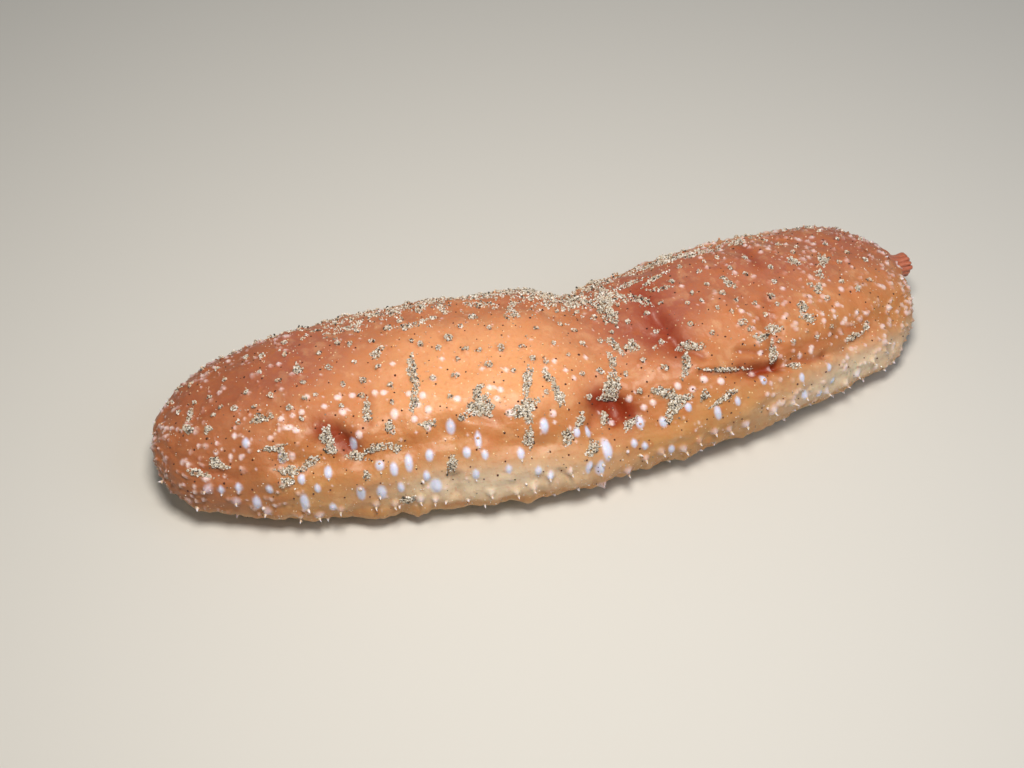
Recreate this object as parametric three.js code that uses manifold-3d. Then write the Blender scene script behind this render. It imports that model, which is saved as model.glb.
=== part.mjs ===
// A royal sea cucumber lying on its sole, life size, in millimetres.
// +X runs from the mouth end to the vent, +Z is up, and the animal's left side faces -Y.
import * as THREE from "three";
import { mergeVertices } from "three/addons/utils/BufferGeometryUtils.js";
import Module from "manifold-3d";

const wasm = await Module();
wasm.setup();

// Driving dimensions of the body: place along it, sideways bend, half width and height.
const STATIONS = [
  [-130, 19.0, 17.5, 21.5],
  [-118, 15.2, 22.6, 27.5],
  [-100, 9.8, 29.8, 33.0],
  [-75, 5.6, 34.8, 36.0],
  [-50, 3.6, 37.0, 38.0],
  [-25, -0.6, 37.6, 38.5],
  [-5, -2.2, 38.0, 37.0],
  [10, -3.0, 35.8, 33.0],
  [25, -2.4, 35.6, 36.0],
  [45, -0.4, 35.5, 38.5],
  [70, 3.4, 34.8, 37.0],
  [92, 7.0, 31.8, 32.5],
  [124, 11.9, 29.5, 25.5],
];
const NOSE = { x: -127.5, long: 20, power: 2.1, middle: 12 };
const TAIL = { x: 125, long: 30, power: 2.3, middle: 17 };
// The blunt front face stands aslant: the left side reaches further forward than the right.
const FRONT_FACE = { slant: 0.34, from: -92, long: 30 };
const SOLE_HEIGHT = 1;
const WIDEST_AT = 0.3;
const EDGE_ROUNDING = 9;
const EDGE_SHARE = 0.35;
const ARCH_POWER = 2.3;
const MOST_SLANT = 0.25;
const LIP = { rise: 7, from: -96, long: 28, fades: 30 };
const CORE_SHARE = 0.42;
// How much more slowly the ends lose height than width.
const END_HEIGHT_POWER = 0.8;

// Round the section: 0 is the middle of the sole, 1.5 its edge, 2 the widest point, 3 the ridge.
const RIDGE = 3;
const FURROW_AT = 2.45;
const SOLE_EDGE_AT = 1.5;
const SOLE_TOP = 7;

// The furrow between back and flank: place along the body and depth, on each side.
const FURROW_LEFT = [
  [-130, 0.4], [-100, 0.8], [-75, 1.5], [-45, 1.0], [-20, 0.7], [8, 1.4],
  [30, 1.0], [55, 2.0], [85, 2.2], [110, 1.0], [125, 0.3],
];
const FURROW_RIGHT = [
  [-130, 0.4], [-95, 1.2], [-60, 0.8], [-25, 1.4], [8, 1.6],
  [35, 2.0], [65, 1.4], [95, 1.6], [125, 0.3],
];
const FURROW_WIDE = 0.11;

// Creases and hollows pressed into the skin: place, length and width, depth and slant.
const CREASES = [
  { x: 7, round: 2.47, long: 6, wide: 0.16, deep: 2.6, slant: -6 },
  { x: 27, round: 2.88, long: 6, wide: 0.16, deep: 1.8, slant: -12 },
  { x: 60, round: 2.72, long: 3.5, wide: 0.3, deep: 1.4, slant: -4 },
  { x: -75, round: 2.54, long: 6, wide: 0.08, deep: 1.5, slant: -20 },
  { x: -37, round: 2.56, long: 6, wide: 0.08, deep: 1.2, slant: 0 },
  { x: 5, round: 3.55, long: 6, wide: 0.22, deep: 2.2, slant: 6 },
  { x: -52, round: 3.5, long: 5, wide: 0.15, deep: 1.2, slant: 8 },
  { x: 64, round: 3.45, long: 5, wide: 0.2, deep: 1.4, slant: 5 },
];

// Thin cuts between the named lengths of the body.
const GAP = 0.3;
const CUTS = { mouth: -99, front: -46, middle: 8, rear: 96 };
const RING_STEP = 6.2;
const END_RINGS = 9;

// Faces round each strip of skin, and round the lower and upper halves of a rounded end.
const FACES = { back: 12, flank: 6, sole: 4, endLower: 8, endUpper: 16 };

// Mouth under the lifted front end, and the short shield-tipped tentacles round it.
const MOUTH = {
  x: -110.5,
  radius: 9,
  ceiling: 13,
  disc: 3.2,
  wall: 0.35,
  sides: 28,
  pit: 3,
  pitDeep: 2,
  pitFloor: 2.1,
};
const TENTACLE = {
  count: 16,
  ring: 6.2,
  inward: -1.2,
  outward: 0.4,
  stem: 0.8,
  length: 5.6,
  uneven: 0.12,
  shield: 1.5,
  sides: 5,
  root: 1.4,
  splay: [-0.036, 0.18],
};

// Vent at the hind end: a short furrowed tube on a small flat.
const VENT = {
  flat: 124,
  height: 16.5,
  radius: 4.1,
  long: 6.6,
  mouth: 1.6,
  deep: 3,
  folds: 9,
  fold: 0.35,
  foldFrom: 2,
  feetReach: 14,
};
// The vent's outer skin and then its inner one: place along the tube and share of its radius.
const VENT_PROFILE = [
  [0, 1],
  [1.4, 0.93],
  [3.6, 1.0],
  [VENT.long - 0.5, 1.08],
  [VENT.long, 0.95],
  [VENT.long - 0.3, 0.5],
  [VENT.long - VENT.deep, VENT.mouth / VENT.radius],
];

// Skin forms, from the low warts of the back to the pointed papillae of the margins.
const WART = { radius: 1.7, height: 1.2, sides: 5, root: 0.6 };
const KNOB = { radius: 2.0, height: 1.9, sides: 5, root: 0.8 };
const FLANK_WART = { radius: 1.8, height: 1.1, sides: 5, root: 0.6 };
const MARGIN_PAPILLA = { radius: 1.5, height: 3.6, sides: 5, root: 1.1 };
const SPREAD = { size: 0.28, place: 0.34 };
const KNOB_SHARE = 0.3;
// Rows of the back: spacing, length of a half section for each millimetre of half width,
// first row's share of a step, and the shift of every other ring.
const BACK_STEP = { along: 11.5, round: 11.5, arc: 2.6, first: 0.25, shift: 0.5, inset: 3 };
const FLANK_ROWS = { round: [2.08, 2.26], wander: 0.05, inset: 4 };
const MARGIN = { round: [1.8, 2.0], step: 8, clear: 4.4, wander: 0.6, sway: 0.25, rise: [-0.05, 0.3] };
const MARGIN_DROOP = -0.1;
const END_SKIN = { fromNose: 4, fromTail: 7, pastFurrow: 0.12 };
const CLEAR = 1.1;

// Tube feet in three bands under the sole, each ending in a small flat on the ground.
const FOOT = { radius: 1.1, sides: 6, root: 1.2, step: 13, inset: 2.5, clear: 2, wander: 1.6, sway: 0.7 };
const FOOT_BANDS = [
  { offset: -0.62, rows: 2 },
  { offset: 0, rows: 2 },
  { offset: 0.62, rows: 2 },
];
const FOOT_ROW = 4.6;

const FINISH = {
  back: { color: 0xc9824f, roughness: 0.42 },
  flank: { color: 0xe0b07a, roughness: 0.4 },
  sole: { color: 0xd8bd90, roughness: 0.5 },
  mouth: { color: 0xb98a63, roughness: 0.45 },
  vent: { color: 0xc58a72, roughness: 0.4 },
};

const body = new THREE.Group();

// One small seeded generator, so that every run places the same papillae.
let seed = 20417;
function random() {
  seed = (seed + 0x6d2b79f5) | 0;
  let mixed = Math.imul(seed ^ (seed >>> 15), 1 | seed);
  mixed = (mixed + Math.imul(mixed ^ (mixed >>> 7), 61 | mixed)) ^ mixed;
  return ((mixed ^ (mixed >>> 14)) >>> 0) / 4294967296;
}

function between(low, high) {
  return low + (high - low) * random();
}

function clamp(value, low, high) {
  return Math.min(high, Math.max(low, value));
}

function smoothStep(value) {
  const t = clamp(value, 0, 1);
  return t * t * (3 - 2 * t);
}

// Smooth curve through rows of [place, value, ...], read at one place.
function alongBody(rows, column, x) {
  let i = 0;
  while (i < rows.length - 2 && x > rows[i + 1][0]) i += 1;
  const slope = (k) => {
    const before = rows[Math.max(k - 1, 0)];
    const after = rows[Math.min(k + 1, rows.length - 1)];
    return (after[column] - before[column]) / (after[0] - before[0]);
  };
  const step = rows[i + 1][0] - rows[i][0];
  const t = clamp((x - rows[i][0]) / step, 0, 1);
  const t2 = t * t;
  const t3 = t2 * t;
  return (2 * t3 - 3 * t2 + 1) * rows[i][column] + (t3 - 2 * t2 + t) * step * slope(i)
    + (3 * t2 - 2 * t3) * rows[i + 1][column] + (t3 - t2) * step * slope(i + 1);
}

// Share of the full section that is left near the two rounded ends.
function endRounding(x) {
  const nose = clamp((NOSE.x + NOSE.long - x) / NOSE.long, 0, 1);
  const tail = clamp((x - TAIL.x + TAIL.long) / TAIL.long, 0, 1);
  return (1 - nose ** NOSE.power) ** (1 / NOSE.power) * (1 - tail ** TAIL.power) ** (1 / TAIL.power);
}

// Depth of furrow and creases at one place of the skin.
function pressedIn(x, round) {
  const furrow = round <= RIDGE ? FURROW_LEFT : FURROW_RIGHT;
  const fromFurrow = (Math.min(round, 2 * RIDGE - round) - FURROW_AT) / FURROW_WIDE;
  let deep = alongBody(furrow, 1, x) * Math.exp(-fromFurrow * fromFurrow);
  for (const crease of CREASES) {
    const across = (round - crease.round) / crease.wide;
    const along = (x - crease.x - crease.slant * (round - crease.round)) / crease.long;
    deep += crease.deep * Math.exp(-across * across - along * along);
  }
  return deep * endRounding(x);
}

// The middle line of the body at one place: its sideways bend and its slant there.
function middleLine(x) {
  const near = 0.5;
  const slant = (alongBody(STATIONS, 1, x + near) - alongBody(STATIONS, 1, x - near)) / (2 * near);
  const front = FRONT_FACE.slant * smoothStep((FRONT_FACE.from - x) / FRONT_FACE.long);
  return { y: alongBody(STATIONS, 1, x), slant: clamp(slant, -MOST_SLANT, MOST_SLANT) - front };
}

// A point of the section at x, sideways from the middle line and at a height.
function inSection(x, sideways, height) {
  const line = middleLine(x);
  return new THREE.Vector3(x - line.slant * sideways, line.y + sideways, height);
}

// The skin: a flat sole, a rounded edge and an arched back.
function skin(x, round) {
  const side = round <= RIDGE ? -1 : 1;
  const r = round <= RIDGE ? round : 2 * RIDGE - round;
  const rounding = endRounding(x);
  const half = alongBody(STATIONS, 2, x) * rounding;
  const height = alongBody(STATIONS, 3, x);
  const widest = WIDEST_AT * height;
  const edge = Math.min(EDGE_ROUNDING, EDGE_SHARE * half);
  const lower = clamp(r - 1, 0, 1) * Math.PI / 2;
  const upper = clamp(r - 2, 0, 1) * Math.PI / 2;
  let sideways = r * (half - edge);
  let z = SOLE_HEIGHT;
  if (r >= 2) {
    sideways = half * Math.max(Math.cos(upper), 0) ** (2 / ARCH_POWER);
    z = widest + (height - widest) * Math.sin(upper) ** (2 / ARCH_POWER);
  } else if (r >= 1) {
    sideways = half - edge + edge * Math.sin(lower);
    z = widest - (widest - SOLE_HEIGHT) * Math.cos(lower);
  }
  const middle = x < 0 ? NOSE.middle : TAIL.middle;
  z = middle + (z - middle) * rounding ** END_HEIGHT_POWER;
  z += LIP.rise * smoothStep((LIP.from - x) / LIP.long) * clamp(1 - z / LIP.fades, 0, 1);
  const core = CORE_SHARE * height;
  const deep = pressedIn(x, round);
  const reach = Math.hypot(sideways, z - core);
  const keep = reach > deep ? 1 - deep / reach : 1;
  return inSection(x, side * sideways * keep, core + (z - core) * keep);
}

// Outward direction of the skin at one place.
function outward(x, round) {
  const small = 0.04;
  const along = skin(x + 1, round).sub(skin(x - 1, round));
  const around = skin(x, round + small).sub(skin(x, round - small));
  return around.cross(along).normalize().negate();
}

// Closed body from rings of points that all run the same way, with a fan at each end.
function loft(rings, startPole, endPole) {
  const count = rings[0].length;
  const points = rings.flat();
  const faces = [];
  for (let i = 0; i < rings.length - 1; i += 1) {
    for (let j = 0; j < count; j += 1) {
      const k = (j + 1) % count;
      const a = i * count + j;
      const b = i * count + k;
      const c = (i + 1) * count + k;
      const d = (i + 1) * count + j;
      // The split runs from the lower y of one ring to the higher y of the next,
      // so that two nodes that face each other over a gap are split alike.
      if (rings[i][j].y < rings[i][k].y) faces.push(a, c, b, a, d, c);
      else faces.push(a, d, b, b, d, c);
    }
  }
  const start = points.push(startPole ?? centreOf(rings[0])) - 1;
  const end = points.push(endPole ?? centreOf(rings.at(-1))) - 1;
  const last = (rings.length - 1) * count;
  for (let j = 0; j < count; j += 1) {
    const k = (j + 1) % count;
    faces.push(start, j, k, end, last + k, last + j);
  }
  const geometry = new THREE.BufferGeometry().setFromPoints(points);
  geometry.setIndex(faces);
  return geometry;
}

function centreOf(ring) {
  const sum = new THREE.Vector3();
  for (const point of ring) sum.add(point);
  return sum.divideScalar(ring.length);
}

// A three.js geometry as a solid that can be joined and cut.
function solid(geometry) {
  const bare = geometry.clone();
  bare.deleteAttribute("normal");
  bare.deleteAttribute("uv");
  const merged = mergeVertices(bare, 1e-4);
  const position = merged.getAttribute("position");
  return new wasm.Manifold(new wasm.Mesh({
    numProp: 3,
    vertProperties: new Float32Array(position.array),
    triVerts: new Uint32Array(merged.getIndex().array),
  }));
}

// The largest closed surface of a solid, as a three.js geometry.
function largest(shape) {
  const pieces = shape.decompose();
  let best = pieces[0];
  for (const piece of pieces) {
    if (piece.volume() > best.volume()) best = piece;
  }
  const mesh = best.getMesh();
  const geometry = new THREE.BufferGeometry();
  geometry.setAttribute("position", new THREE.Float32BufferAttribute(mesh.vertProperties, 3));
  geometry.setIndex(Array.from(mesh.triVerts));
  return geometry;
}

function add(name, shape, finish) {
  const material = new THREE.MeshStandardMaterial({ ...finish, metalness: 0 });
  const mesh = new THREE.Mesh(largest(shape), material);
  mesh.name = name;
  body.add(mesh);
}

function spaced(from, to, step) {
  const count = Math.max(1, Math.round((to - from) / step));
  return Array.from({ length: count + 1 }, (_, i) => from + (to - from) * i / count);
}

// Points on the skin from one place round the section to another.
function arc(x, from, to, count) {
  return Array.from({ length: count + 1 }, (_, i) => skin(x, from + (to - from) * i / count));
}

function shiftEnds(points, height) {
  points[0].z += height;
  points.at(-1).z += height;
  return points;
}

// Height of the cut between back and flanks on the middle line.
function backFloor(x) {
  return (skin(x, FURROW_AT).z + skin(x, 2 * RIDGE - FURROW_AT).z) / 2;
}

// Sections of the four strips that the body's trunk is divided into.
const SECTIONS = {
  back(x) {
    const top = shiftEnds(arc(x, FURROW_AT, 2 * RIDGE - FURROW_AT, FACES.back), GAP / 2);
    return [...top, inSection(x, 0, backFloor(x) + GAP / 2)];
  },
  flankLeft(x) {
    const outer = arc(x, SOLE_EDGE_AT, FURROW_AT, FACES.flank);
    outer[0].z += GAP / 2;
    outer.at(-1).z -= GAP / 2;
    const upper = inSection(x, -GAP / 2, backFloor(x) - GAP / 2);
    const lower = inSection(x, -GAP / 2, SOLE_TOP + GAP / 2);
    return [...outer, upper, lower];
  },
  flankRight(x) {
    const outer = arc(x, 2 * RIDGE - FURROW_AT, 2 * RIDGE - SOLE_EDGE_AT, FACES.flank);
    outer[0].z -= GAP / 2;
    outer.at(-1).z += GAP / 2;
    const lower = inSection(x, GAP / 2, SOLE_TOP + GAP / 2);
    const upper = inSection(x, GAP / 2, backFloor(x) - GAP / 2);
    return [...outer, lower, upper];
  },
  sole(x) {
    const right = arc(x, 2 * RIDGE - SOLE_EDGE_AT, 2 * RIDGE, FACES.sole);
    const left = arc(x, 0, SOLE_EDGE_AT, FACES.sole).slice(1);
    const under = shiftEnds([...right, ...left], -GAP / 2);
    return [...under, inSection(x, 0, SOLE_TOP - GAP / 2)];
  },
};

function strip(section, from, to) {
  return solid(loft(spaced(from + GAP / 2, to - GAP / 2, RING_STEP).map(SECTIONS[section])));
}

// Whole rounded end of the body, from its tip to a cut.
function roundEnd(tip, long, cut) {
  const forward = Math.sign(cut - tip);
  const places = [];
  for (let i = 1; i <= END_RINGS; i += 1) {
    places.push(tip + forward * long * (1 - Math.cos(i / END_RINGS * Math.PI / 2)));
  }
  places.push(...spaced(tip + forward * long, cut - forward * GAP / 2, RING_STEP).slice(1));
  if (forward < 0) places.reverse();
  const rings = places.map((x) => [
    ...arc(x, 0, RIDGE - 1, FACES.endLower),
    ...arc(x, RIDGE - 1, RIDGE + 1, FACES.endUpper).slice(1),
    ...arc(x, RIDGE + 1, 2 * RIDGE, FACES.endLower).slice(1, -1),
  ]);
  const middle = tip < 0 ? NOSE.middle : TAIL.middle;
  const pole = inSection(tip, 0, tip < 0 ? middle + LIP.rise * (1 - middle / LIP.fades) : middle);
  return forward > 0 ? solid(loft(rings, pole)) : solid(loft(rings, null, pole));
}

// A papilla: a cone whose root is sunk below the skin.
function papilla(form, place, direction, size) {
  const whole = form.height * size + form.root;
  const geometry = new THREE.ConeGeometry(rootRadius(form, size), whole, form.sides);
  geometry.translate(0, whole / 2 - form.root, 0);
  geometry.rotateX(Math.PI / 2);
  geometry.rotateZ(between(0, Math.PI));
  const turn = new THREE.Quaternion().setFromUnitVectors(new THREE.Vector3(0, 0, 1), direction);
  geometry.applyQuaternion(turn);
  geometry.translate(place.x, place.y, place.z);
  return solid(geometry);
}

function rootRadius(form, size) {
  return form.radius * (size + form.root / form.height);
}

function varied() {
  return 1 + between(-SPREAD.size, SPREAD.size);
}

// Warts and knobs over part of the back, in rough rows that are jittered on the spot.
function backForms(from, to, roundFrom, roundTo) {
  const forms = [];
  const across = alongBody(STATIONS, 2, (from + to) / 2) * BACK_STEP.arc;
  const share = (roundTo - roundFrom) / (2 * (RIDGE - FURROW_AT));
  const rows = Math.max(2, Math.round(across * share / BACK_STEP.round));
  const step = (roundTo - roundFrom) / rows;
  let odd = 0;
  for (const x of spaced(from + BACK_STEP.inset, to - BACK_STEP.inset, BACK_STEP.along)) {
    odd = BACK_STEP.shift - odd;
    for (let row = 0; row < rows; row += 1) {
      const wander = between(-SPREAD.place, SPREAD.place) / 2;
      const round = roundFrom + step * (row + BACK_STEP.first + odd + wander);
      const size = varied();
      const form = random() < KNOB_SHARE ? KNOB : WART;
      const clear = rootRadius(form, size) + CLEAR;
      const moved = x + between(-SPREAD.place, SPREAD.place) * BACK_STEP.along;
      const at = clamp(moved, from + clear, to - clear);
      const place = skin(at, round);
      const edge = Math.min(place.distanceTo(skin(at, roundFrom)), place.distanceTo(skin(at, roundTo)));
      if (edge < clear || round < roundFrom || round > roundTo) continue;
      forms.push(papilla(form, place, outward(at, round), size));
    }
  }
  return forms;
}

// Low warts on a flank and the row of pointed papillae along its lower margin.
function flankForms(from, to, side) {
  const forms = [];
  const mirrored = (round) => (side < 0 ? round : 2 * RIDGE - round);
  for (const x of spaced(from + FLANK_ROWS.inset, to - FLANK_ROWS.inset, BACK_STEP.along)) {
    for (const high of FLANK_ROWS.round) {
      const size = varied();
      const clear = rootRadius(FLANK_WART, size) + CLEAR;
      const moved = x + between(-SPREAD.place, SPREAD.place) * BACK_STEP.along;
      const at = clamp(moved, from + clear, to - clear);
      const round = mirrored(high + between(-FLANK_ROWS.wander, FLANK_ROWS.wander));
      if (skin(at, round).distanceTo(skin(at, mirrored(FURROW_AT))) < clear) continue;
      forms.push(papilla(FLANK_WART, skin(at, round), outward(at, round), size));
    }
  }
  for (const x of spaced(from + MARGIN.clear, to - MARGIN.clear, MARGIN.step)) {
    const at = x + between(-MARGIN.wander, MARGIN.wander);
    forms.push(marginPapilla(at, mirrored(between(...MARGIN.round))));
  }
  return forms;
}

function marginPapilla(x, round) {
  const direction = outward(x, round);
  direction.z = Math.max(direction.z, MARGIN_DROOP) + between(...MARGIN.rise);
  direction.x += between(-MARGIN.sway, MARGIN.sway);
  return papilla(MARGIN_PAPILLA, skin(x, round), direction.normalize(), varied());
}

// Papillae of a rounded end: warts over its top and pointed ones round its lower margin.
function endForms(tip, cut) {
  const inner = tip < 0 ? tip + END_SKIN.fromNose : cut + GAP / 2;
  const outer = tip < 0 ? cut - GAP / 2 : tip - END_SKIN.fromTail;
  const lowest = FURROW_AT - END_SKIN.pastFurrow;
  const forms = backForms(inner, outer, lowest, 2 * RIDGE - lowest);
  for (const side of [-1, 1]) {
    for (const x of spaced(inner + MARGIN.clear, outer - MARGIN.clear, MARGIN.step)) {
      const round = between(...MARGIN.round);
      forms.push(marginPapilla(x, side < 0 ? round : 2 * RIDGE - round));
    }
  }
  return forms;
}

// Tube feet under one length of the sole.
function tubeFeet(from, to) {
  const feet = [];
  for (const band of FOOT_BANDS) {
    for (let row = 0; row < band.rows; row += 1) {
      for (const x of spaced(from + FOOT.inset, to - FOOT.inset, FOOT.step)) {
        const moved = x + between(-FOOT.wander, FOOT.wander);
        const at = clamp(moved, from + FOOT.clear, to - FOOT.clear);
        const half = alongBody(STATIONS, 2, at) - EDGE_ROUNDING;
        const offset = (row - (band.rows - 1) / 2) * FOOT_ROW;
        const sideways = band.offset * half + offset + between(-FOOT.sway, FOOT.sway);
        const height = skin(at, Math.abs(sideways) / (half + EDGE_ROUNDING)).z + FOOT.root;
        const geometry = new THREE.CylinderGeometry(FOOT.radius * varied(), FOOT.radius, height, FOOT.sides);
        geometry.rotateX(Math.PI / 2);
        const place = inSection(at, sideways, height / 2);
        geometry.translate(place.x, place.y, place.z);
        feet.push(solid(geometry));
      }
    }
  }
  return feet;
}

function joined(base, forms) {
  return wasm.Manifold.union([base, ...forms]);
}

// Box from three.js, placed by its lowest and highest corners.
function block(low, high) {
  const size = new THREE.Vector3().subVectors(high, low);
  const geometry = new THREE.BoxGeometry(size.x, size.y, size.z);
  geometry.translate((low.x + high.x) / 2, (low.y + high.y) / 2, (low.z + high.z) / 2);
  return solid(geometry);
}

function mouthEnd() {
  const whole = joined(roundEnd(NOSE.x, NOSE.long, CUTS.mouth), endForms(NOSE.x, CUTS.mouth));
  const centre = inSection(MOUTH.x, 0, 0);
  const hollow = new THREE.CylinderGeometry(MOUTH.radius, MOUTH.radius, 2 * MOUTH.ceiling, MOUTH.sides);
  hollow.rotateX(Math.PI / 2);
  hollow.translate(centre.x, centre.y, 0);
  return whole.subtract(solid(hollow));
}

// The mouth disc on the roof of the hollow, with its ring of tentacles.
function mouth() {
  const centre = inSection(MOUTH.x, 0, 0);
  const top = MOUTH.ceiling - GAP;
  const radius = MOUTH.radius - MOUTH.wall;
  const profile = [
    new THREE.Vector2(0, top - MOUTH.disc + MOUTH.pitDeep),
    new THREE.Vector2(MOUTH.pitFloor, top - MOUTH.disc + MOUTH.pitDeep),
    new THREE.Vector2(MOUTH.pit, top - MOUTH.disc),
    new THREE.Vector2(radius, top - MOUTH.disc),
    new THREE.Vector2(radius, top),
    new THREE.Vector2(0, top),
  ];
  const disc = new THREE.LatheGeometry(profile, MOUTH.sides);
  disc.rotateX(Math.PI / 2);
  const arms = [];
  for (let i = 0; i < TENTACLE.count; i += 1) {
    const angle = i / TENTACLE.count * 2 * Math.PI;
    const length = TENTACLE.length * (1 + between(-TENTACLE.uneven, TENTACLE.uneven));
    const arm = new THREE.LatheGeometry([
      new THREE.Vector2(0, -length),
      new THREE.Vector2(TENTACLE.shield, -length + TENTACLE.shield / 2),
      new THREE.Vector2(TENTACLE.stem, TENTACLE.root),
      new THREE.Vector2(0, TENTACLE.root),
    ], TENTACLE.sides);
    arm.rotateX(Math.PI / 2);
    arm.rotateY(-between(...TENTACLE.splay));
    arm.rotateZ(angle);
    const ring = TENTACLE.ring + (i % 2 ? TENTACLE.inward : TENTACLE.outward);
    arm.translate(ring * Math.cos(angle), ring * Math.sin(angle), top - MOUTH.disc);
    arms.push(solid(arm));
  }
  return joined(solid(disc), arms).translate([centre.x, centre.y, 0]);
}

function ventEnd() {
  const whole = joined(roundEnd(TAIL.x, TAIL.long, CUTS.rear), endForms(TAIL.x, CUTS.rear));
  const far = 60;
  const low = new THREE.Vector3(VENT.flat, -far, -far);
  const high = new THREE.Vector3(VENT.flat + far, far, far);
  const beyond = block(low, high);
  const feet = tubeFeet(CUTS.rear + GAP / 2, CUTS.rear + VENT.feetReach);
  return joined(whole.subtract(beyond), feet);
}

// The vent: a tube with lengthwise folds that flares a little and opens at its tip.
function vent() {
  const rings = [];
  const centre = inSection(VENT.flat, 0, VENT.height);
  for (const [along, share] of VENT_PROFILE) {
    const ring = [];
    for (let i = 0; i < 2 * VENT.folds; i += 1) {
      const angle = i / VENT.folds * Math.PI;
      const fold = i % 2 ? VENT.fold * Math.min(1, along / VENT.foldFrom) : 0;
      const radius = VENT.radius * share - fold * Math.min(1, share);
      ring.push(new THREE.Vector3(
        VENT.flat + GAP + along,
        centre.y + radius * Math.cos(angle),
        centre.z + radius * Math.sin(angle),
      ));
    }
    rings.push(ring.reverse());
  }
  return solid(loft(rings));
}

const LENGTHS = [
  ["front", CUTS.mouth, CUTS.front],
  ["middle", CUTS.front, CUTS.middle],
  ["rear", CUTS.middle, CUTS.rear],
];

add("mouth_end", mouthEnd(), FINISH.back);
add("mouth", mouth(), FINISH.mouth);
for (const [name, from, to] of LENGTHS) {
  const low = from + GAP / 2;
  const high = to - GAP / 2;
  const right = 2 * RIDGE - FURROW_AT;
  add(`back_${name}`, joined(strip("back", from, to), backForms(low, high, FURROW_AT, right)), FINISH.back);
  add(`flank_left_${name}`, joined(strip("flankLeft", from, to), flankForms(low, high, -1)), FINISH.flank);
  add(`flank_right_${name}`, joined(strip("flankRight", from, to), flankForms(low, high, 1)), FINISH.flank);
  add(`sole_${name}`, joined(strip("sole", from, to), tubeFeet(low, high)), FINISH.sole);
}
add("vent_end", ventEnd(), FINISH.back);
add("vent", vent(), FINISH.vent);

export default body;
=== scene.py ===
import math

import bpy
import numpy as np
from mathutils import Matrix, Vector
from mathutils.bvhtree import BVHTree


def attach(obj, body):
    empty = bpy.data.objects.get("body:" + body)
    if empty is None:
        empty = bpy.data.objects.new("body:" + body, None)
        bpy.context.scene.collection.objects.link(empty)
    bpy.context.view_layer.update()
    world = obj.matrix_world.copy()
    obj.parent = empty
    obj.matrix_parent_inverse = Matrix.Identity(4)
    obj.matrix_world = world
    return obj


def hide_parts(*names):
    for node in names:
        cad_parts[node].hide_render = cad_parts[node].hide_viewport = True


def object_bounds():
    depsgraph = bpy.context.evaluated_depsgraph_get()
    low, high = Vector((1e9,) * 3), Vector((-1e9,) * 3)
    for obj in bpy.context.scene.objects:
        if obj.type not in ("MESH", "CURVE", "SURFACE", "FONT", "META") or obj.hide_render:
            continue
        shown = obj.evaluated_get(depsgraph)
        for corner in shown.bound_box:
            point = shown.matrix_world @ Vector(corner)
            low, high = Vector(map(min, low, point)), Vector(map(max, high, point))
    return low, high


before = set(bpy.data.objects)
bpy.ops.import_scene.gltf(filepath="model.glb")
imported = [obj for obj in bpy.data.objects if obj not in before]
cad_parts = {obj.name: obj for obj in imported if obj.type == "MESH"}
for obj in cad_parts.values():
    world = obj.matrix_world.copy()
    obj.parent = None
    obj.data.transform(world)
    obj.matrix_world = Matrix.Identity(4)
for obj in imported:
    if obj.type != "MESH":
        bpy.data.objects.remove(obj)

# A royal sea cucumber on its sole: +X from the mouth end to the vent, its left side faces -Y.
# Body sizes are in millimetres and turned to metres where a mesh is made.
CAD_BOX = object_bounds()
MM = 0.001
BODY = "root"
SEED = 71
# The skin, its papillae and the sand keep inside the box of the CAD part, in millimetres.
LOW, HIGH = np.array([list(corner) for corner in CAD_BOX]) / MM

# Photograph: its size, the field of view and the place it was taken from, round the aimed point.
PHOTO_WIDTH, PHOTO_HEIGHT = 1024, 768
SENSOR_WIDTH = 36.0
VIEW_ANGLE = math.radians(40)
VIEW_AZIMUTH = math.radians(-17)
VIEW_ELEVATION = math.radians(50)
VIEW_DISTANCE = 455.0
AIMED_AT = np.array([-16.5, 1.0, 15.0])

# Place along the body, sideways bend, half width and height.
STATIONS = np.array([
    [-130, 19.0, 17.5, 21.5],
    [-118, 15.2, 22.6, 27.5],
    [-100, 9.8, 29.8, 33.0],
    [-75, 5.6, 34.8, 36.0],
    [-50, 3.6, 37.0, 38.0],
    [-25, -0.6, 37.6, 38.5],
    [-5, -2.2, 38.0, 37.0],
    [10, -3.0, 35.8, 33.0],
    [25, -2.4, 35.6, 36.0],
    [45, -0.4, 35.5, 38.5],
    [70, 3.4, 34.8, 37.0],
    [92, 7.0, 31.8, 32.5],
    [124, 11.9, 29.5, 25.5],
])
NOSE_X, NOSE_LONG, NOSE_POWER, NOSE_MIDDLE = -127.5, 20.0, 2.1, 12.0
TAIL_X, TAIL_LONG, TAIL_POWER, TAIL_MIDDLE = 125.0, 30.0, 2.3, 17.0
# The blunt front face stands aslant: the left side reaches further forward than the right.
FRONT_SLANT, FRONT_FROM, FRONT_LONG = 0.34, -92.0, 30.0
SOLE_HEIGHT = 1.0
WIDEST_AT = 0.3
EDGE_ROUNDING, EDGE_SHARE = 9.0, 0.35
ARCH_POWER = 2.3
MOST_SLANT = 0.25
END_HEIGHT_POWER = 0.8
LIP_RISE, LIP_FROM, LIP_LONG, LIP_FADES = 7.0, -96.0, 28.0, 30.0
CORE_SHARE = 0.42
# Waves of the skin in all directions: height and length of each kind in millimetres.
RIPPLES = {
    "swell": (0.42, 21.0),
    "lumps": (0.2, 8.0),
    "wrinkles": (0.03, 2.6),
    "grain": (0.04, 1.6),
    "scallops": (0.55, 8.5),
    "frills": (0.22, 2.7),
    "sole": (0.12, 5.0),
    "tip": (0.16, 3.2),
}
RIPPLE_WAVES = 14
# The scalloped margin: its middle and width, round the section.
MARGIN_AT, MARGIN_WIDE = 1.72, 0.26
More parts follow.
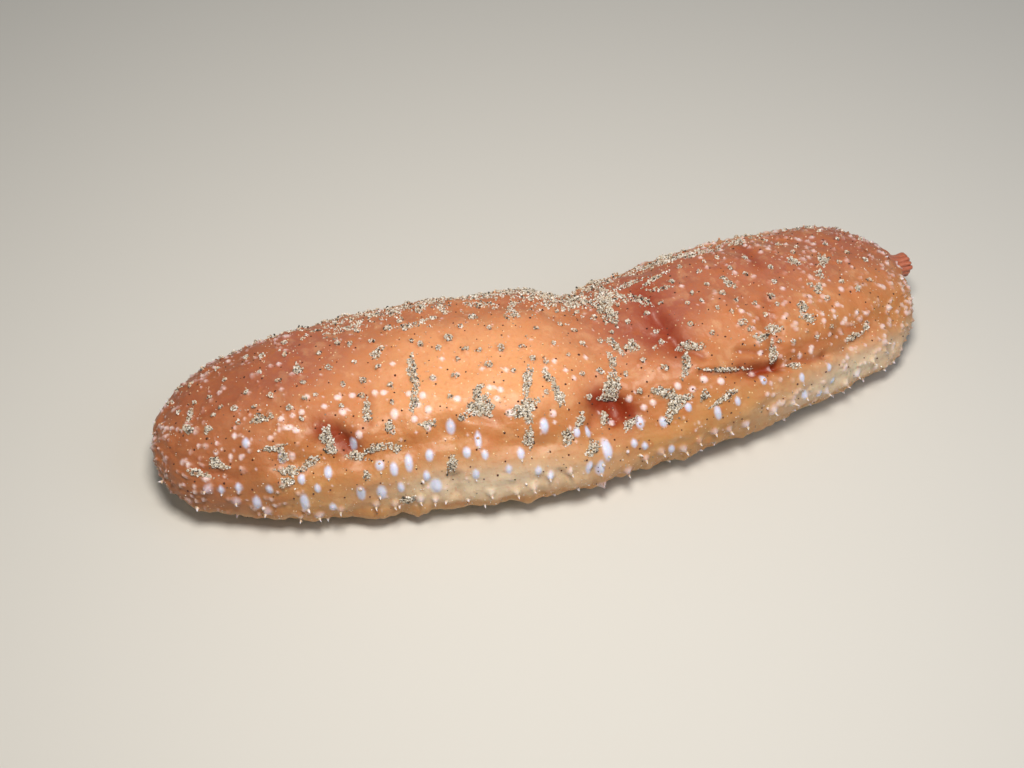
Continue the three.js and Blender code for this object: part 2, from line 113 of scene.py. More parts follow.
# Folds of the skin round the vent: their count, depth and reach along the body.
PUCKER_FOLDS, PUCKER_DEPTH, PUCKER_LONG = 13, 0.4, 9

# A raised form: the share of its size that is searched, how it fades, and how far its tint goes.
FORM_REACH = 1.4
FORM_FADE = 1.6
TINT_END, TINT_SOFT = 1.3, 0.95
# A crease, in its own widths: how far it is felt, where the skin beside it swells and by what
# share of the depth, and how far its red, partly painted shade, spreads.
CREASE_REACH = 4
SWELLING_AT, SWELLING_SHARE = 2.1, 0.22
CREASE_SHADE_SPREAD = 2.6

# Round the section: 0 is the middle of the sole, 1.5 its left edge, 2 the widest point, 3 the ridge,
# 4 the widest point on the right and 6 the sole again.
RIDGE, FULL_ROUND = 3.0, 6.0
FURROW_AT, FURROW_WIDE = 2.45, 0.11
FURROW_LEFT = np.array([[-130, 0.4], [-100, 0.8], [-75, 1.5], [-45, 1.0], [-20, 0.7], [8, 1.4],
                        [30, 1.0], [55, 2.0], [85, 2.2], [110, 1.0], [125, 0.3]])
FURROW_RIGHT = np.array([[-130, 0.4], [-95, 1.2], [-60, 0.8], [-25, 1.4], [8, 1.6], [35, 2.0],
                         [65, 1.4], [95, 1.6], [125, 0.3]])
# Creases: place, place round, length, width round, depth, slant, and how red the hollow is, a red
# that is partly painted shade.
CREASES = [
    (7, 2.47, 6, 0.16, 2.6, -6, 0.5),
    (27, 2.88, 6, 0.16, 1.8, -12, 0.6),
    (60, 2.72, 3.5, 0.3, 1.4, -4, 0.4),
    (-75, 2.54, 6, 0.08, 1.5, -20, 0.4),
    (-37, 2.56, 6, 0.08, 1.2, 0, 0.3),
    (5, 3.55, 6, 0.22, 2.2, 6, 0.7),
    (-52, 3.5, 5, 0.15, 1.2, 8, 0.4),
    (64, 3.45, 5, 0.2, 1.4, 5, 0.5),
]
# Thin creases of the hidden side and the ends, in the same columns, finer than the solids hold.
FINE_CREASES = [
    (-118, 2.3, 2.2, 0.4, 0.8, 10, 0.2),
    (-124, 2.7, 1.6, 0.5, 0.7, 4, 0.3),
    (-90, 3.62, 8, 0.05, 0.9, 20, 0.5),
    (-30, 3.7, 9, 0.04, 0.8, -20, 0.4),
    (22, 3.66, 7, 0.05, 1.1, 10, 0.6),
    (78, 3.62, 9, 0.04, 1.0, -10, 0.5),
    (48, 3.9, 1.8, 0.3, 0.9, 5, 0.3),
    (-12, 3.95, 1.8, 0.3, 0.8, -5, 0.3),
    (-70, 4.2, 1.6, 0.3, 0.9, 5, 0.2),
    (100, 3.8, 1.8, 0.3, 0.7, 6, 0.3),
]
# Creases that the photograph shows: pixels of both ends, width and depth in millimetres, redness,
# which is partly painted shade.
SEEN_CREASES = [
    (754, 373, 778, 366, 1.5, 1.9, 1.0),
    (778, 366, 826, 356, 1.3, 1.3, 0.6),
    (826, 356, 868, 337, 1.5, 0.9, 0.12),
    (700, 373, 754, 373, 1.2, 0.8, 0.5),
    (768, 300, 775, 345, 2.0, 0.8, 0.5),
    (741, 350, 768, 354, 1.3, 0.7, 0.5),
    (676, 344, 702, 357, 1.5, 0.9, 0.6),
    (657, 318, 682, 348, 2.2, 0.7, 0.5),
    (641, 297, 662, 326, 2.8, 0.6, 0.45),
    (640, 330, 668, 352, 1.6, 0.4, 0.4),
    (744, 246, 758, 266, 2.4, 0.5, 0.5),
    (612, 394, 614, 420, 2.3, 2.0, 1.0),
    (604, 404, 590, 426, 1.6, 0.6, 0.5),
    (616, 404, 628, 424, 1.6, 0.6, 0.5),
    (367, 396, 369, 424, 1.5, 0.5, 0.4),
    (336, 428, 351, 449, 2.0, 1.3, 0.8),
    (470, 412, 496, 420, 2.0, 0.8, 0.35),
    (277, 463, 362, 461, 2.8, 0.8, 0.12),
    (362, 461, 452, 434, 2.8, 0.6, 0.08),
    (452, 434, 538, 447, 2.8, 0.8, 0.15),
    (538, 447, 598, 438, 2.8, 0.9, 0.2),
    (598, 438, 660, 425, 2.8, 0.7, 0.12),
    (660, 425, 742, 402, 2.8, 0.5, 0.08),
    (456, 496, 454, 478, 1.7, 1.6, 0.15),
    (541, 492, 539, 478, 1.2, 0.7, 0.08),
    (562, 486, 560, 472, 1.2, 0.7, 0.08),
    (594, 482, 592, 468, 1.3, 0.8, 0.1),
    (456, 288, 486, 296, 1.8, 0.9, 0.7),
    (232, 398, 196, 416, 1.5, 0.5, 0.3),
    (200, 470, 232, 478, 1.5, 0.7, 0.3),
    (600, 400, 626, 412, 3.8, 0.8, 1.1),
    (324, 430, 348, 444, 3.6, 0.8, 0.9),
    (478, 404, 492, 416, 3.0, 0.4, 0.3),
    (742, 370, 776, 366, 3.0, 0.5, 0.7),
    (776, 364, 846, 350, 2.6, 0.6, 0.35),
    (650, 312, 682, 350, 4.6, 0.4, 0.75),
    (642, 292, 656, 320, 4.6, 0.3, 0.65),
    (620, 322, 650, 345, 5.0, 0.2, 0.45),
    (768, 306, 774, 350, 4.0, 0.2, 0.35),
    (448, 292, 500, 290, 3.5, 0.2, 0.35),
]

# Spacing of the skin's mesh, along the body and round each part of the section.
RING_SPACING = 0.66
END_RINGS_NOSE, END_RINGS_TAIL = 38, 58
ROUND_COUNTS = (14, 26, 81)

MOUTH_X, MOUTH_RADIUS, MOUTH_CEILING = -110.5, 8.4, 12.4
MOUTH_DROP = 2.2
VENT_X, VENT_HEIGHT = 124.0, 16.5

# White papillae of the flank, as they stand in the photograph: pixel, width and height in pixels.
SKIRT_SPOTS = [
    (363, 493, 10, 18), (383, 491, 11, 17), (436, 485, 14, 16), (477, 474, 8, 12), (511, 468, 7, 10),
    (467, 451, 9, 10), (431, 454, 9, 11), (410, 461, 9, 16), (395, 467, 9, 12), (380, 464, 10, 9),
    (544, 424, 10, 14), (451, 426, 10, 13), (480, 439, 7, 16), (540, 469, 8, 11), (553, 474, 7, 11),
    (523, 453, 8, 11), (487, 454, 7, 9), (354, 442, 9, 11), (305, 501, 10, 20), (259, 503, 9, 16),
    (270, 488, 8, 10), (240, 487, 8, 10), (330, 471, 9, 12), (335, 506, 8, 12), (284, 457, 9, 10),
    (303, 478, 8, 10), (608, 448, 12, 20), (599, 465, 11, 15), (588, 465, 9, 13), (642, 421, 9, 12),
    (665, 421, 9, 11), (717, 411, 8, 14), (673, 447, 8, 11), (634, 442, 7, 9), (647, 444, 7, 9),
    (738, 399, 7, 9), (820, 393, 8, 10), (804, 392, 8, 10), (834, 380, 8, 9), (828, 366, 7, 8),
    (801, 376, 7, 8), (763, 379, 8, 9), (222, 489, 7, 9), (248, 442, 8, 10), (690, 405, 8, 9),
    (578, 431, 8, 10), (590, 430, 8, 11), (402, 485, 8, 12), (427, 475, 8, 12), (320, 487, 7, 9),
]
BACK_SPOTS = [
    (396, 414, 9, 13), (459, 398, 9, 8), (555, 413, 8, 9), (511, 412, 10, 9), (361, 433, 8, 9),
    (354, 394, 8, 8), (339, 397, 9, 8), (343, 412, 8, 9), (385, 391, 8, 8), (375, 390, 7, 8),
    (409, 392, 7, 8), (423, 394, 8, 9), (430, 409, 8, 10), (435, 376, 8, 9), (459, 373, 7, 7),
    (491, 385, 7, 7), (501, 390, 7, 8), (442, 356, 6, 7), (393, 363, 7, 7), (645, 407, 7, 8),
    (720, 380, 9, 9), (704, 379, 9, 9), (694, 387, 8, 8), (678, 385, 8, 9), (763, 352, 7, 7),
    (800, 354, 6, 7), (810, 351, 6, 7), (822, 313, 6, 6), (836, 316, 6, 7), (846, 318, 6, 7),
    (858, 311, 6, 7), (237, 434, 7, 8), (290, 427, 11, 7), (298, 430, 9, 7), (304, 411, 7, 7),
    (294, 414, 6, 6), (309, 398, 7, 7), (326, 407, 7, 6), (231, 456, 6, 7), (242, 457, 6, 7),
    (218, 452, 6, 7), (613, 421, 7, 8), (600, 470, 6, 6), (556, 359, 6, 7), (547, 366, 6, 6),
    (574, 377, 6, 7), (585, 357, 6, 7), (682, 286, 6, 6), (506, 369, 6, 7), (566, 369, 6, 6),
    (498, 397, 7, 8), (419, 404, 8, 8), (482, 367, 6, 6), (530, 374, 6, 7), (283, 418, 7, 7),
    (416, 418, 8, 8), (429, 427, 7, 9), (618, 391, 6, 7), (629, 399, 7, 8), (655, 401, 7, 8),
]
# Papillae that stand out along the lower edge of the near side: pixel of the root.
EDGE_PAPILLAE = [
    (300, 514), (320, 513), (341, 509), (268, 510), (377, 503), (396, 501), (420, 497), (436, 498),
    (492, 490), (517, 489), (535, 484), (553, 474), (570, 470), (601, 480), (628, 468), (646, 456),
    (661, 449), (682, 446), (699, 438), (714, 430), (730, 426), (746, 421), (774, 407), (792, 400),
    (806, 394), (826, 390), (846, 381), (858, 372), (872, 358), (884, 340), (236, 501), (210, 488),
]
# Patches of sand held by the skin: pixel, width, height and lean in degrees.
SAND_PATCHES = [
    (413, 372, 10, 28, -8), (414, 401, 9, 18, 0), (377, 353, 9, 13, 40), (367, 411, 7, 26, 0),
    (390, 427, 8, 14, 0), (481, 407, 24, 22, 20), (477, 396, 8, 18, 0), (527, 383, 9, 30, 8),
    (524, 409, 26, 15, -20), (528, 416, 8, 14, 0), (548, 377, 8, 16, -36), (558, 394, 9, 22, -20),
    (529, 438, 8, 22, 4), (452, 464, 8, 20, 6), (357, 456, 18, 9, 20), (376, 448, 26, 7, -24),
    (396, 448, 10, 8, 0), (428, 424, 18, 6, -8), (408, 499, 16, 6, -20), (367, 475, 7, 8, 0),
    (462, 418, 8, 6, 0), (612, 383, 17, 18, 0), (609, 396, 19, 10, 0), (665, 393, 22, 10, 20),
    (674, 407, 14, 26, 20), (683, 398, 16, 9, 0), (686, 365, 9, 20, 8), (691, 346, 22, 8, 0),
    (725, 369, 42, 4, 0), (725, 397, 26, 6, -38), (705, 395, 9, 9, 30), (604, 419, 6, 16, 6),
    (630, 424, 7, 18, 38), (568, 437, 12, 14, 30), (580, 420, 7, 15, 10), (593, 448, 15, 12, -30),
    (604, 306, 24, 22, 20), (613, 317, 10, 16, -20), (615, 346, 6, 22, -42), (633, 346, 10, 12, 0),
    (612, 361, 8, 14, -20), (773, 353, 9, 18, 0), (774, 329, 16, 8, -12), (761, 337, 14, 8, -20),
    (794, 366, 14, 5, 0), (823, 260, 12, 10, 0), (819, 274, 8, 9, 0), (818, 289, 9, 9, 0),
    (803, 307, 9, 9, 0), (808, 318, 14, 9, 25), (854, 336, 20, 5, -30), (866, 326, 6, 9, 0),
    (260, 419, 20, 7, -10), (327, 437, 13, 18, 0), (331, 449, 14, 8, 20), (274, 448, 20, 6, -12),
    (283, 456, 8, 12, -20), (310, 463, 22, 7, -32), (289, 471, 20, 10, 10), (287, 482, 14, 8, 0),
    (219, 465, 20, 6, 10), (199, 473, 22, 6, 20), (190, 415, 6, 12, 20), (208, 429, 7, 8, 0),
    (215, 461, 10, 9, 0), (188, 430, 9, 8, 0), (298, 369, 8, 10, 0), (664, 262, 46, 4, -14),
    (655, 279, 26, 4, -30), (729, 283, 16, 7, 30), (794, 262, 14, 6, 20), (738, 243, 14, 6, -20),
]
# The drift of sand against the far side: pixel, width, height and lean, thinner than a patch.
SAND_DRIFTS = [
    (394, 312, 14, 10, 0), (421, 307, 12, 8, -10), (441, 307, 10, 8, 0), (412, 325, 40, 5, -16),
    (436, 300, 26, 6, -10), (470, 294, 44, 7, 0), (505, 290, 50, 9, 3), (545, 292, 56, 14, 5),
    (575, 300, 36, 12, 10), (590, 289, 40, 8, 6), (511, 312, 12, 14, 0), (616, 296, 26, 10, 16),
    (640, 300, 24, 9, 20), (548, 304, 12, 9, 0), (570, 305, 18, 10, 0), (480, 305, 30, 5, 6),
    (690, 256, 46, 5, -14), (630, 284, 30, 5, -20), (352, 327, 30, 5, -18), (660, 289, 20, 5, -10),
]
# Clumps of sand on the tips of the back's papillae: pixel and width in pixels.
SAND_CAPS = [
    (489, 364, 9), (501, 347, 11), (449, 338, 13), (466, 349, 8), (422, 344, 9), (433, 317, 8),
    (388, 327, 10), (474, 317, 12), (447, 312, 8), (402, 320, 8), (461, 326, 6), (518, 318, 7),
    (363, 378, 8), (343, 384, 7), (329, 367, 8), (306, 400, 7), (290, 408, 9), (271, 395, 8),
    (235, 407, 9), (221, 406, 6), (272, 416, 7), (318, 396, 6), (362, 394, 8), (392, 383, 7),
    (298, 370, 9), (352, 345, 8), (338, 343, 7), (534, 358, 9), (548, 360, 7), (583, 343, 8),
    (595, 319, 9), (640, 390, 8), (663, 340, 7), (664, 367, 8), (600, 372, 8), (690, 322, 7),
    (722, 293, 9), (741, 323, 7), (771, 294, 8), (779, 303, 6), (770, 268, 8), (747, 273, 7),
    (718, 308, 6), (708, 282, 6), (700, 271, 6), (672, 283, 8), (646, 312, 7), (655, 329, 7),
    (702, 300, 6), (744, 322, 7), (792, 340, 6), (800, 306, 7), (827, 298, 8), (841, 282, 7),
    (857, 290, 8), (810, 283, 8), (869, 279, 6), (840, 261, 6), (731, 268, 7), (718, 258, 7),
    (679, 268, 6), (590, 395, 7), (547, 391, 6), (524, 346, 7), (440, 345, 7), (480, 351, 7),
    (458, 356, 6), (412, 340, 6), (372, 341, 7), (356, 361, 6), (319, 352, 7), (306, 384, 6),
    (281, 380, 6), (262, 372, 6), (248, 390, 6), (210, 395, 6), (196, 402, 6), (256, 405, 6),
    (240, 420, 6), (214, 415, 6), (582, 372, 6), (601, 341, 7), (575, 331, 7), (560, 325, 6),
    (536, 328, 6), (554, 343, 6), (612, 330, 6), (628, 322, 6), (688, 303, 6), (713, 330, 6),
    (736, 300, 6), (754, 303, 6), (766, 312, 6), (780, 340, 6), (815, 335, 6), (830, 325, 6),
    (750, 327, 6), (730, 311, 6), (692, 291, 6), (703, 344, 6), (655, 346, 6), (661, 386, 7),
]
# The stretches of the far side dusted most thickly: place, place round, length, width round.
DUSTED = [(-20, 3.5, 45, 0.14), (2, 3.4, 18, 0.22), (-62, 3.46, 24, 0.14), (40, 3.55, 34, 0.12)]

SKIN_LOOK = {
    "sole": "#DCC6A0",
    "skirt_edge": "#C8965E",
    "skirt": "#C59056",
    "flank": "#C88650",
    # Painted light: the colour of the pool of light on the near flank.
    "painted_light": "#F2B07C",
    "back": "#C88459",
    "ridge": "#AC6650",
    "pale": "#F2E2C6",
    # The ends' darker brown: partly their own colour, partly painted falloff of the light.
    "end": "#A2603F",
    # Partly painted shade: the deep red laid into creases over the skin's own red.
    "hollow": "#8C2606",
    "wart": "#B0663E",
    # Painted shadow: the skin's colour under the patches of sand.
    "sand_bed": "#94785A",
    "spot": "#DCE4FF",
    "spot_upper": "#FCE9EA",
    "blotch": "#C5753E",
    "pale_blotch": "#F0C698",
    "speck": "#F5E0B4",
    "dark_tip": "#532618",
}
# Where the ramp of skin colours turns from one to the next, from the sole up to the ridge.
SKIN_STOPS = [(0.0, "sole"), (0.3, "sole"), (0.4, "skirt_edge"), (0.5, "skirt"), (0.62, "flank"),
              (0.8, "back"), (1.0, "ridge")]
# How far along that ramp the skin is at places round the section.
ZONE_STOPS = [(0, 0), (1.3, 0.28), (1.7, 0.42), (2.1, 0.51), (2.4, 0.6), (2.62, 0.65), (2.86, 0.75),
              (3.0, 0.8)]


def rng(name):
    """A seeded generator for each kind of form, so that one form's draws never shift another's."""
    return np.random.default_rng(SEED + sum(ord(letter) for letter in name))


def smooth(value):
    t = np.clip(value, 0.0, 1.0)
    return t * t * (3 - 2 * t)


def inside(points, margin):
    """Whether points lie in the box of the CAD part, by a margin on every side but the floor."""
    return np.all((points > LOW + margin * np.array([1, 1, 0])) & (points < HIGH - margin), axis=-1)


def along_body(rows, column, x):
    """Smooth curve through rows of place and value, read at many places."""
    places = rows[:, 0]
    values = rows[:, column]
    slopes = np.empty(len(places))
    slopes[1:-1] = (values[2:] - values[:-2]) / (places[2:] - places[:-2])
    slopes[0] = (values[1] - values[0]) / (places[1] - places[0])
    slopes[-1] = (values[-1] - values[-2]) / (places[-1] - places[-2])
    i = np.clip(np.searchsorted(places, x) - 1, 0, len(places) - 2)
    step = places[i + 1] - places[i]
    t = np.clip((x - places[i]) / step, 0, 1)
    return ((2 * t**3 - 3 * t**2 + 1) * values[i] + (t**3 - 2 * t**2 + t) * step * slopes[i]
            + (3 * t**2 - 2 * t**3) * values[i + 1] + (t**3 - t**2) * step * slopes[i + 1])


def end_rounding(x):
    """Share of the full section that is left near the two rounded ends."""
    nose = np.clip((NOSE_X + NOSE_LONG - x) / NOSE_LONG, 0, 1)
    tail = np.clip((x - TAIL_X + TAIL_LONG) / TAIL_LONG, 0, 1)
    return (1 - nose**NOSE_POWER)**(1 / NOSE_POWER) * (1 - tail**TAIL_POWER)**(1 / TAIL_POWER)


def furrow_depth(x, around):
    left = along_body(FURROW_LEFT, 1, x)
    right = along_body(FURROW_RIGHT, 1, x)
    from_furrow = (np.minimum(around, FULL_ROUND - around) - FURROW_AT) / FURROW_WIDE
    return np.where(around <= RIDGE, left, right) * np.exp(-from_furrow**2)


def crease_shape(crease, x, around):
    place, at, long, wide, _, slant, _ = crease
    across = (around - at) / wide
    along = (x - place - slant * (around - at)) / long
    return np.exp(-across**2 - along**2)


def in_section(x, sideways, height):
    """A point of the section at x, sideways from the middle line and at a height."""
    near = 0.5
    slant = (along_body(STATIONS, 1, x + near) - along_body(STATIONS, 1, x - near)) / (2 * near)
    slant = np.clip(slant, -MOST_SLANT, MOST_SLANT)
    slant = slant - FRONT_SLANT * smooth((FRONT_FROM - x) / FRONT_LONG)
    return np.stack([x - slant * sideways, along_body(STATIONS, 1, x) + sideways, height], -1)


def plain_skin(x, around):
    """The skin before its fine forms: a flat sole, a rounded edge and an arched back."""
    side = np.where(around <= RIDGE, -1.0, 1.0)
    r = np.where(around <= RIDGE, around, FULL_ROUND - around)
    rounding = end_rounding(x)
    half = along_body(STATIONS, 2, x) * rounding
    height = along_body(STATIONS, 3, x)
    widest = WIDEST_AT * height
    edge = np.minimum(EDGE_ROUNDING, EDGE_SHARE * half)
    lower = np.clip(r - 1, 0, 1) * math.pi / 2
    upper = np.clip(r - 2, 0, 1) * math.pi / 2
    arch = np.clip(np.cos(upper), 0, 1)**(2 / ARCH_POWER)
    sideways = np.where(r < 1, r * (half - edge), half - edge + edge * np.sin(lower))
    sideways = np.where(r < 2, sideways, half * arch)
    z = np.where(r < 1, SOLE_HEIGHT, widest - (widest - SOLE_HEIGHT) * np.cos(lower))
    z = np.where(r < 2, z, widest + (height - widest) * np.sin(upper)**(2 / ARCH_POWER))
    middle = np.where(x < 0, NOSE_MIDDLE, TAIL_MIDDLE)
    z = middle + (z - middle) * rounding**END_HEIGHT_POWER
    z = z + LIP_RISE * smooth((LIP_FROM - x) / LIP_LONG) * np.clip(1 - z / LIP_FADES, 0, 1)
    core = CORE_SHARE * height
    deep = furrow_depth(x, around)
    for crease in CREASES:
        deep = deep + crease[4] * crease_shape(crease, x, around)
    deep = deep * rounding
    reach = np.hypot(sideways, z - core)
    keep = np.where(reach > deep, 1 - deep / np.maximum(reach, 1e-6), 1.0)
    return in_section(x, side * sideways * keep, core + (z - core) * keep)


def ripple(points, size, name):
    """Smooth random relief of one grain size: many plane waves in seeded directions."""
    draw = rng(name)
    total = np.zeros(points.shape[:-1])
    for _ in range(RIPPLE_WAVES):
        direction = draw.normal(size=3)
        direction /= np.linalg.norm(direction)
        length = size * draw.uniform(0.75, 1.5)
        total += np.sin(points @ direction * (2 * math.pi / length) + draw.uniform(0, 2 * math.pi))
    return total / math.sqrt(RIPPLE_WAVES / 2)


def waves_of(points, name):
    """Height in millimetres of one kind of the skin's waves."""
    height, size = RIPPLES[name]
    return height * ripple(points, size, name)


def crossed(a, b):
    """Unit vectors at right angles to two fields of vectors."""
    normal = np.cross(a, b)
    return normal / np.maximum(np.linalg.norm(normal, axis=-1, keepdims=True), 1e-9)


class Skin:
    """The body's surface as rings of points, with its fine forms and the masks for its colours."""

    def __init__(self):
        quarter = math.pi / 2
        nose = np.linspace(0, quarter, END_RINGS_NOSE + 1)[1:]
        tail = np.linspace(quarter, 0, END_RINGS_TAIL + 1)[:-1]
        trunk_from = NOSE_X + NOSE_LONG
        trunk_to = TAIL_X - TAIL_LONG
        trunk = np.linspace(trunk_from, trunk_to, int((trunk_to - trunk_from) / RING_SPACING))
        self.x = np.concatenate([
            NOSE_X + NOSE_LONG * (1 - np.cos(nose)),
            trunk[1:-1],
            TAIL_X - TAIL_LONG * (1 - np.cos(tail)),
        ])
        half = np.concatenate([np.linspace(i, i + 1, count, endpoint=False)
                               for i, count in enumerate(ROUND_COUNTS)])
        self.around = np.concatenate([half, FULL_ROUND - np.append(half, RIDGE)[:0:-1]])
        self.grid_x, self.grid_around = np.meshgrid(self.x, self.around, indexing="ij")
        self.points = plain_skin(self.grid_x, self.grid_around)
        self.r = np.minimum(self.grid_around, FULL_ROUND - self.grid_around)
        self.relief = np.zeros(self.r.shape)
        self.lift = np.zeros(self.r.shape)
        self.lean = np.zeros(self.points.shape)
        names = ("spot", "upper", "hollow", "wart", "sand_shadow", "end", "pale", "painted_light")
        self.masks = {name: np.zeros(self.r.shape) for name in names}
        self.measure()

    def measure(self):
        """Directions along and round the body, and the outward normal, at every point."""
        self.along = np.gradient(self.points, axis=0)
        self.round = np.roll(self.points, -1, 1) - np.roll(self.points, 1, 1)
        self.normal = crossed(self.round, self.along)
        if np.mean(self.normal[:, len(self.around) // 2, 2]) < 0:
            self.normal = -self.normal
        self.along /= np.maximum(np.linalg.norm(self.along, axis=-1, keepdims=True), 1e-9)
        self.round /= np.maximum(np.linalg.norm(self.round, axis=-1, keepdims=True), 1e-9)

    def nearest(self, x, around):
        i = int(np.clip(np.searchsorted(self.x, x), 0, len(self.x) - 1))
        j = int(np.argmin(np.abs(self.around - around)))
        return i, j

    def raise_form(self, i, j, long, wide, height, mask=None, strength=1.0, blunt=2.0, lean=None):
        """A soft bump with a tint over it. Blunt is 2 on a dome and near 1 on a pointed papilla."""
        reach = max(long, wide) * FORM_REACH + 1
        rows = np.nonzero(np.abs(self.x - self.x[i]) < reach)[0]
        columns = np.nonzero(np.linalg.norm(self.points[i] - self.points[i, j], axis=-1) < reach)[0]
        window = np.ix_(rows, columns)
        offset = self.points[window] - self.points[i, j]
        far = np.sqrt((offset @ self.along[i, j] / long)**2 + (offset @ self.round[i, j] / wide)**2
                      + (offset @ self.normal[i, j] / (long + wide))**2)
        raised = height * np.clip(1 - far**blunt, 0, 1)**FORM_FADE
        higher = raised > self.lift[window]
        self.lift[window] = np.where(higher, raised, self.lift[window])
        lean = np.zeros(3) if lean is None else lean
        self.lean[window] = np.where(higher[..., None], lean, self.lean[window])
        if mask:
            tint = smooth((TINT_END - far) / TINT_SOFT) * strength
            self.masks[mask][window] = np.maximum(self.masks[mask][window], tint)

    def press_line(self, path, wide, deep, red):
        """A groove along a path, the skin swelling a little on both sides, with red in it that is partly
        painted shade.
        """
        low = path.min(0) - CREASE_REACH * wide
        high = path.max(0) + CREASE_REACH * wide
        near = np.all((self.points > low) & (self.points < high), axis=-1)
        here = self.points[near]
        far = np.full(len(here), np.inf)
        for start, end in zip(path[:-1], path[1:]):
            way = end - start
            t = np.clip((here - start) @ way / max(way @ way, 1e-9), 0, 1)
            far = np.minimum(far, np.linalg.norm(here - start - t[:, None] * way, axis=1))
        groove = np.exp(-(far / wide)**2)
        swelling = np.exp(-((far - SWELLING_AT * wide) / wide)**2)
        self.relief[near] += deep * (SWELLING_SHARE * swelling - groove)
        # Red in the groove and a little beyond it, partly painted shade.
        tint = red * (0.5 * groove + 0.4 * np.exp(-(far / (CREASE_SHADE_SPREAD * wide))**2))
        self.masks["hollow"][near] = np.maximum(self.masks["hollow"][near], tint)


def photo_axes():
    """Place of the camera and its right, up and backward directions, in millimetres."""
    back = np.array([
        math.sin(VIEW_AZIMUTH) * math.cos(VIEW_ELEVATION),
        -math.cos(VIEW_AZIMUTH) * math.cos(VIEW_ELEVATION),
        math.sin(VIEW_ELEVATION),
    ])
    right = np.array([math.cos(VIEW_AZIMUTH), math.sin(VIEW_AZIMUTH), 0.0])
    return AIMED_AT + back * VIEW_DISTANCE, right, np.cross(back, right), back


def make_camera():
    data = bpy.data.cameras.new("camera")
    data.sensor_width = SENSOR_WIDTH
    data.lens = SENSOR_WIDTH / 2 / math.tan(VIEW_ANGLE / 2)
    data.clip_start = 0.01
    camera = bpy.data.objects.new("camera", data)
    place, _, _, back = photo_axes()
    camera.location = Vector(place) * MM
    camera.rotation_mode = "QUATERNION"
    camera.rotation_quaternion = Vector(back).to_track_quat("Z", "Y")
    bpy.context.collection.objects.link(camera)
    bpy.context.scene.camera = camera


class Sight:
    """Finds the place on the skin that a pixel of the photograph shows."""

    def __init__(self, skin):
        self.columns = len(skin.around)
        points = skin.points.reshape(-1, 3)
        self.tree = BVHTree.FromPolygons(points.tolist(), quads(len(skin.x), self.columns).tolist())
        self.place, self.right, self.up, self.back = photo_axes()
        self.focal = PHOTO_WIDTH / 2 / math.tan(VIEW_ANGLE / 2)

    def cast(self, px, py):
        """The point, its outward direction and its ring and column, or nothing past the body."""
        ray = (-self.back + self.right * ((px - PHOTO_WIDTH / 2) / self.focal)
               - self.up * ((py - PHOTO_HEIGHT / 2) / self.focal))
        hit, normal, face, _ = self.tree.ray_cast(Vector(self.place), Vector(ray).normalized())
        if hit is None:
            return None
        normal = np.array(normal)
        if normal @ ray > 0:
            normal = -normal
        return np.array(hit), normal, divmod(face, self.columns)

    def spacing(self):
        """Millimetres that one pixel spans at the body."""
        return VIEW_DISTANCE / self.focal


def quads(rings, columns):
    """Faces of a closed tube of rings, four corners each, seen from outside."""
    i, j = np.meshgrid(np.arange(rings - 1), np.arange(columns), indexing="ij")
    k = (j + 1) % columns
    faces = np.stack([i * columns + j, i * columns + k, (i + 1) * columns + k, (i + 1) * columns + j], -1)
    return faces.reshape(-1, 4)


def colour(code):
    """sRGB hex to the linear values that the shader takes."""
    parts = [int(code[i:i + 2], 16) / 255 for i in (1, 3, 5)]
    return [c / 12.92 if c <= 0.04045 else ((c + 0.055) / 1.055)**2.4 for c in parts] + [1.0]


def add_object(name, points, faces, material, smooth_faces=True):
    """A mesh from points in millimetres, riding on the body; faces may mix triangles and quads."""
    mesh = bpy.data.meshes.new(name)
    mesh.from_pydata((np.asarray(points) * MM).tolist(), [], faces)
    if smooth_faces:
        mesh.shade_smooth()
    mesh.materials.append(material)
    piece = bpy.data.objects.new(name, mesh)
    bpy.context.collection.objects.link(piece)
    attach(piece, BODY)
    return piece


def add_values(piece, name, values):
    layer = piece.data.attributes.new(name, "FLOAT", "POINT")
    layer.data.foreach_set("value", np.asarray(values, dtype=np.float32).ravel())


def add_colours(piece, name, values):
    layer = piece.data.attributes.new(name, "FLOAT_COLOR", "POINT")
    layer.data.foreach_set("color", np.asarray(values, dtype=np.float32).ravel())


def add_unwrap(piece, corners):
    layer = piece.data.uv_layers.new(name="OFBake")
    layer.data.foreach_set("uv", np.asarray(corners, dtype=np.float32).ravel())


def new_material(name):
    material = bpy.data.materials.new(name)
    material.use_nodes = True
    material.node_tree.nodes.clear()
    return material, material.node_tree


def add_node(tree, kind, inputs=None, **settings):
    """A shader node with its settings. An input is a constant, a socket, or a node, which gives
    the first output that it has in use."""
    node = tree.nodes.new(kind)
    for key, value in settings.items():
        setattr(node, key, value)
    for key, value in (inputs or {}).items():
        if isinstance(value, bpy.types.Node):
            value = next(output for output in value.outputs if output.enabled)
        if isinstance(value, bpy.types.NodeSocket):
            tree.links.new(value, node.inputs[key])
        else:
            node.inputs[key].default_value = value
    return node


def grain_scale(size_mm):
    """Texture scale for a pattern that repeats about every so many millimetres."""
    return 1.0 / (size_mm * MM)


# Wet flesh: it bends light as watery tissue does, and its film of slime adds a faint, soft gloss.
WET_FLESH = {"IOR": 1.38, "Coat Weight": 0.12, "Coat Roughness": 0.3}


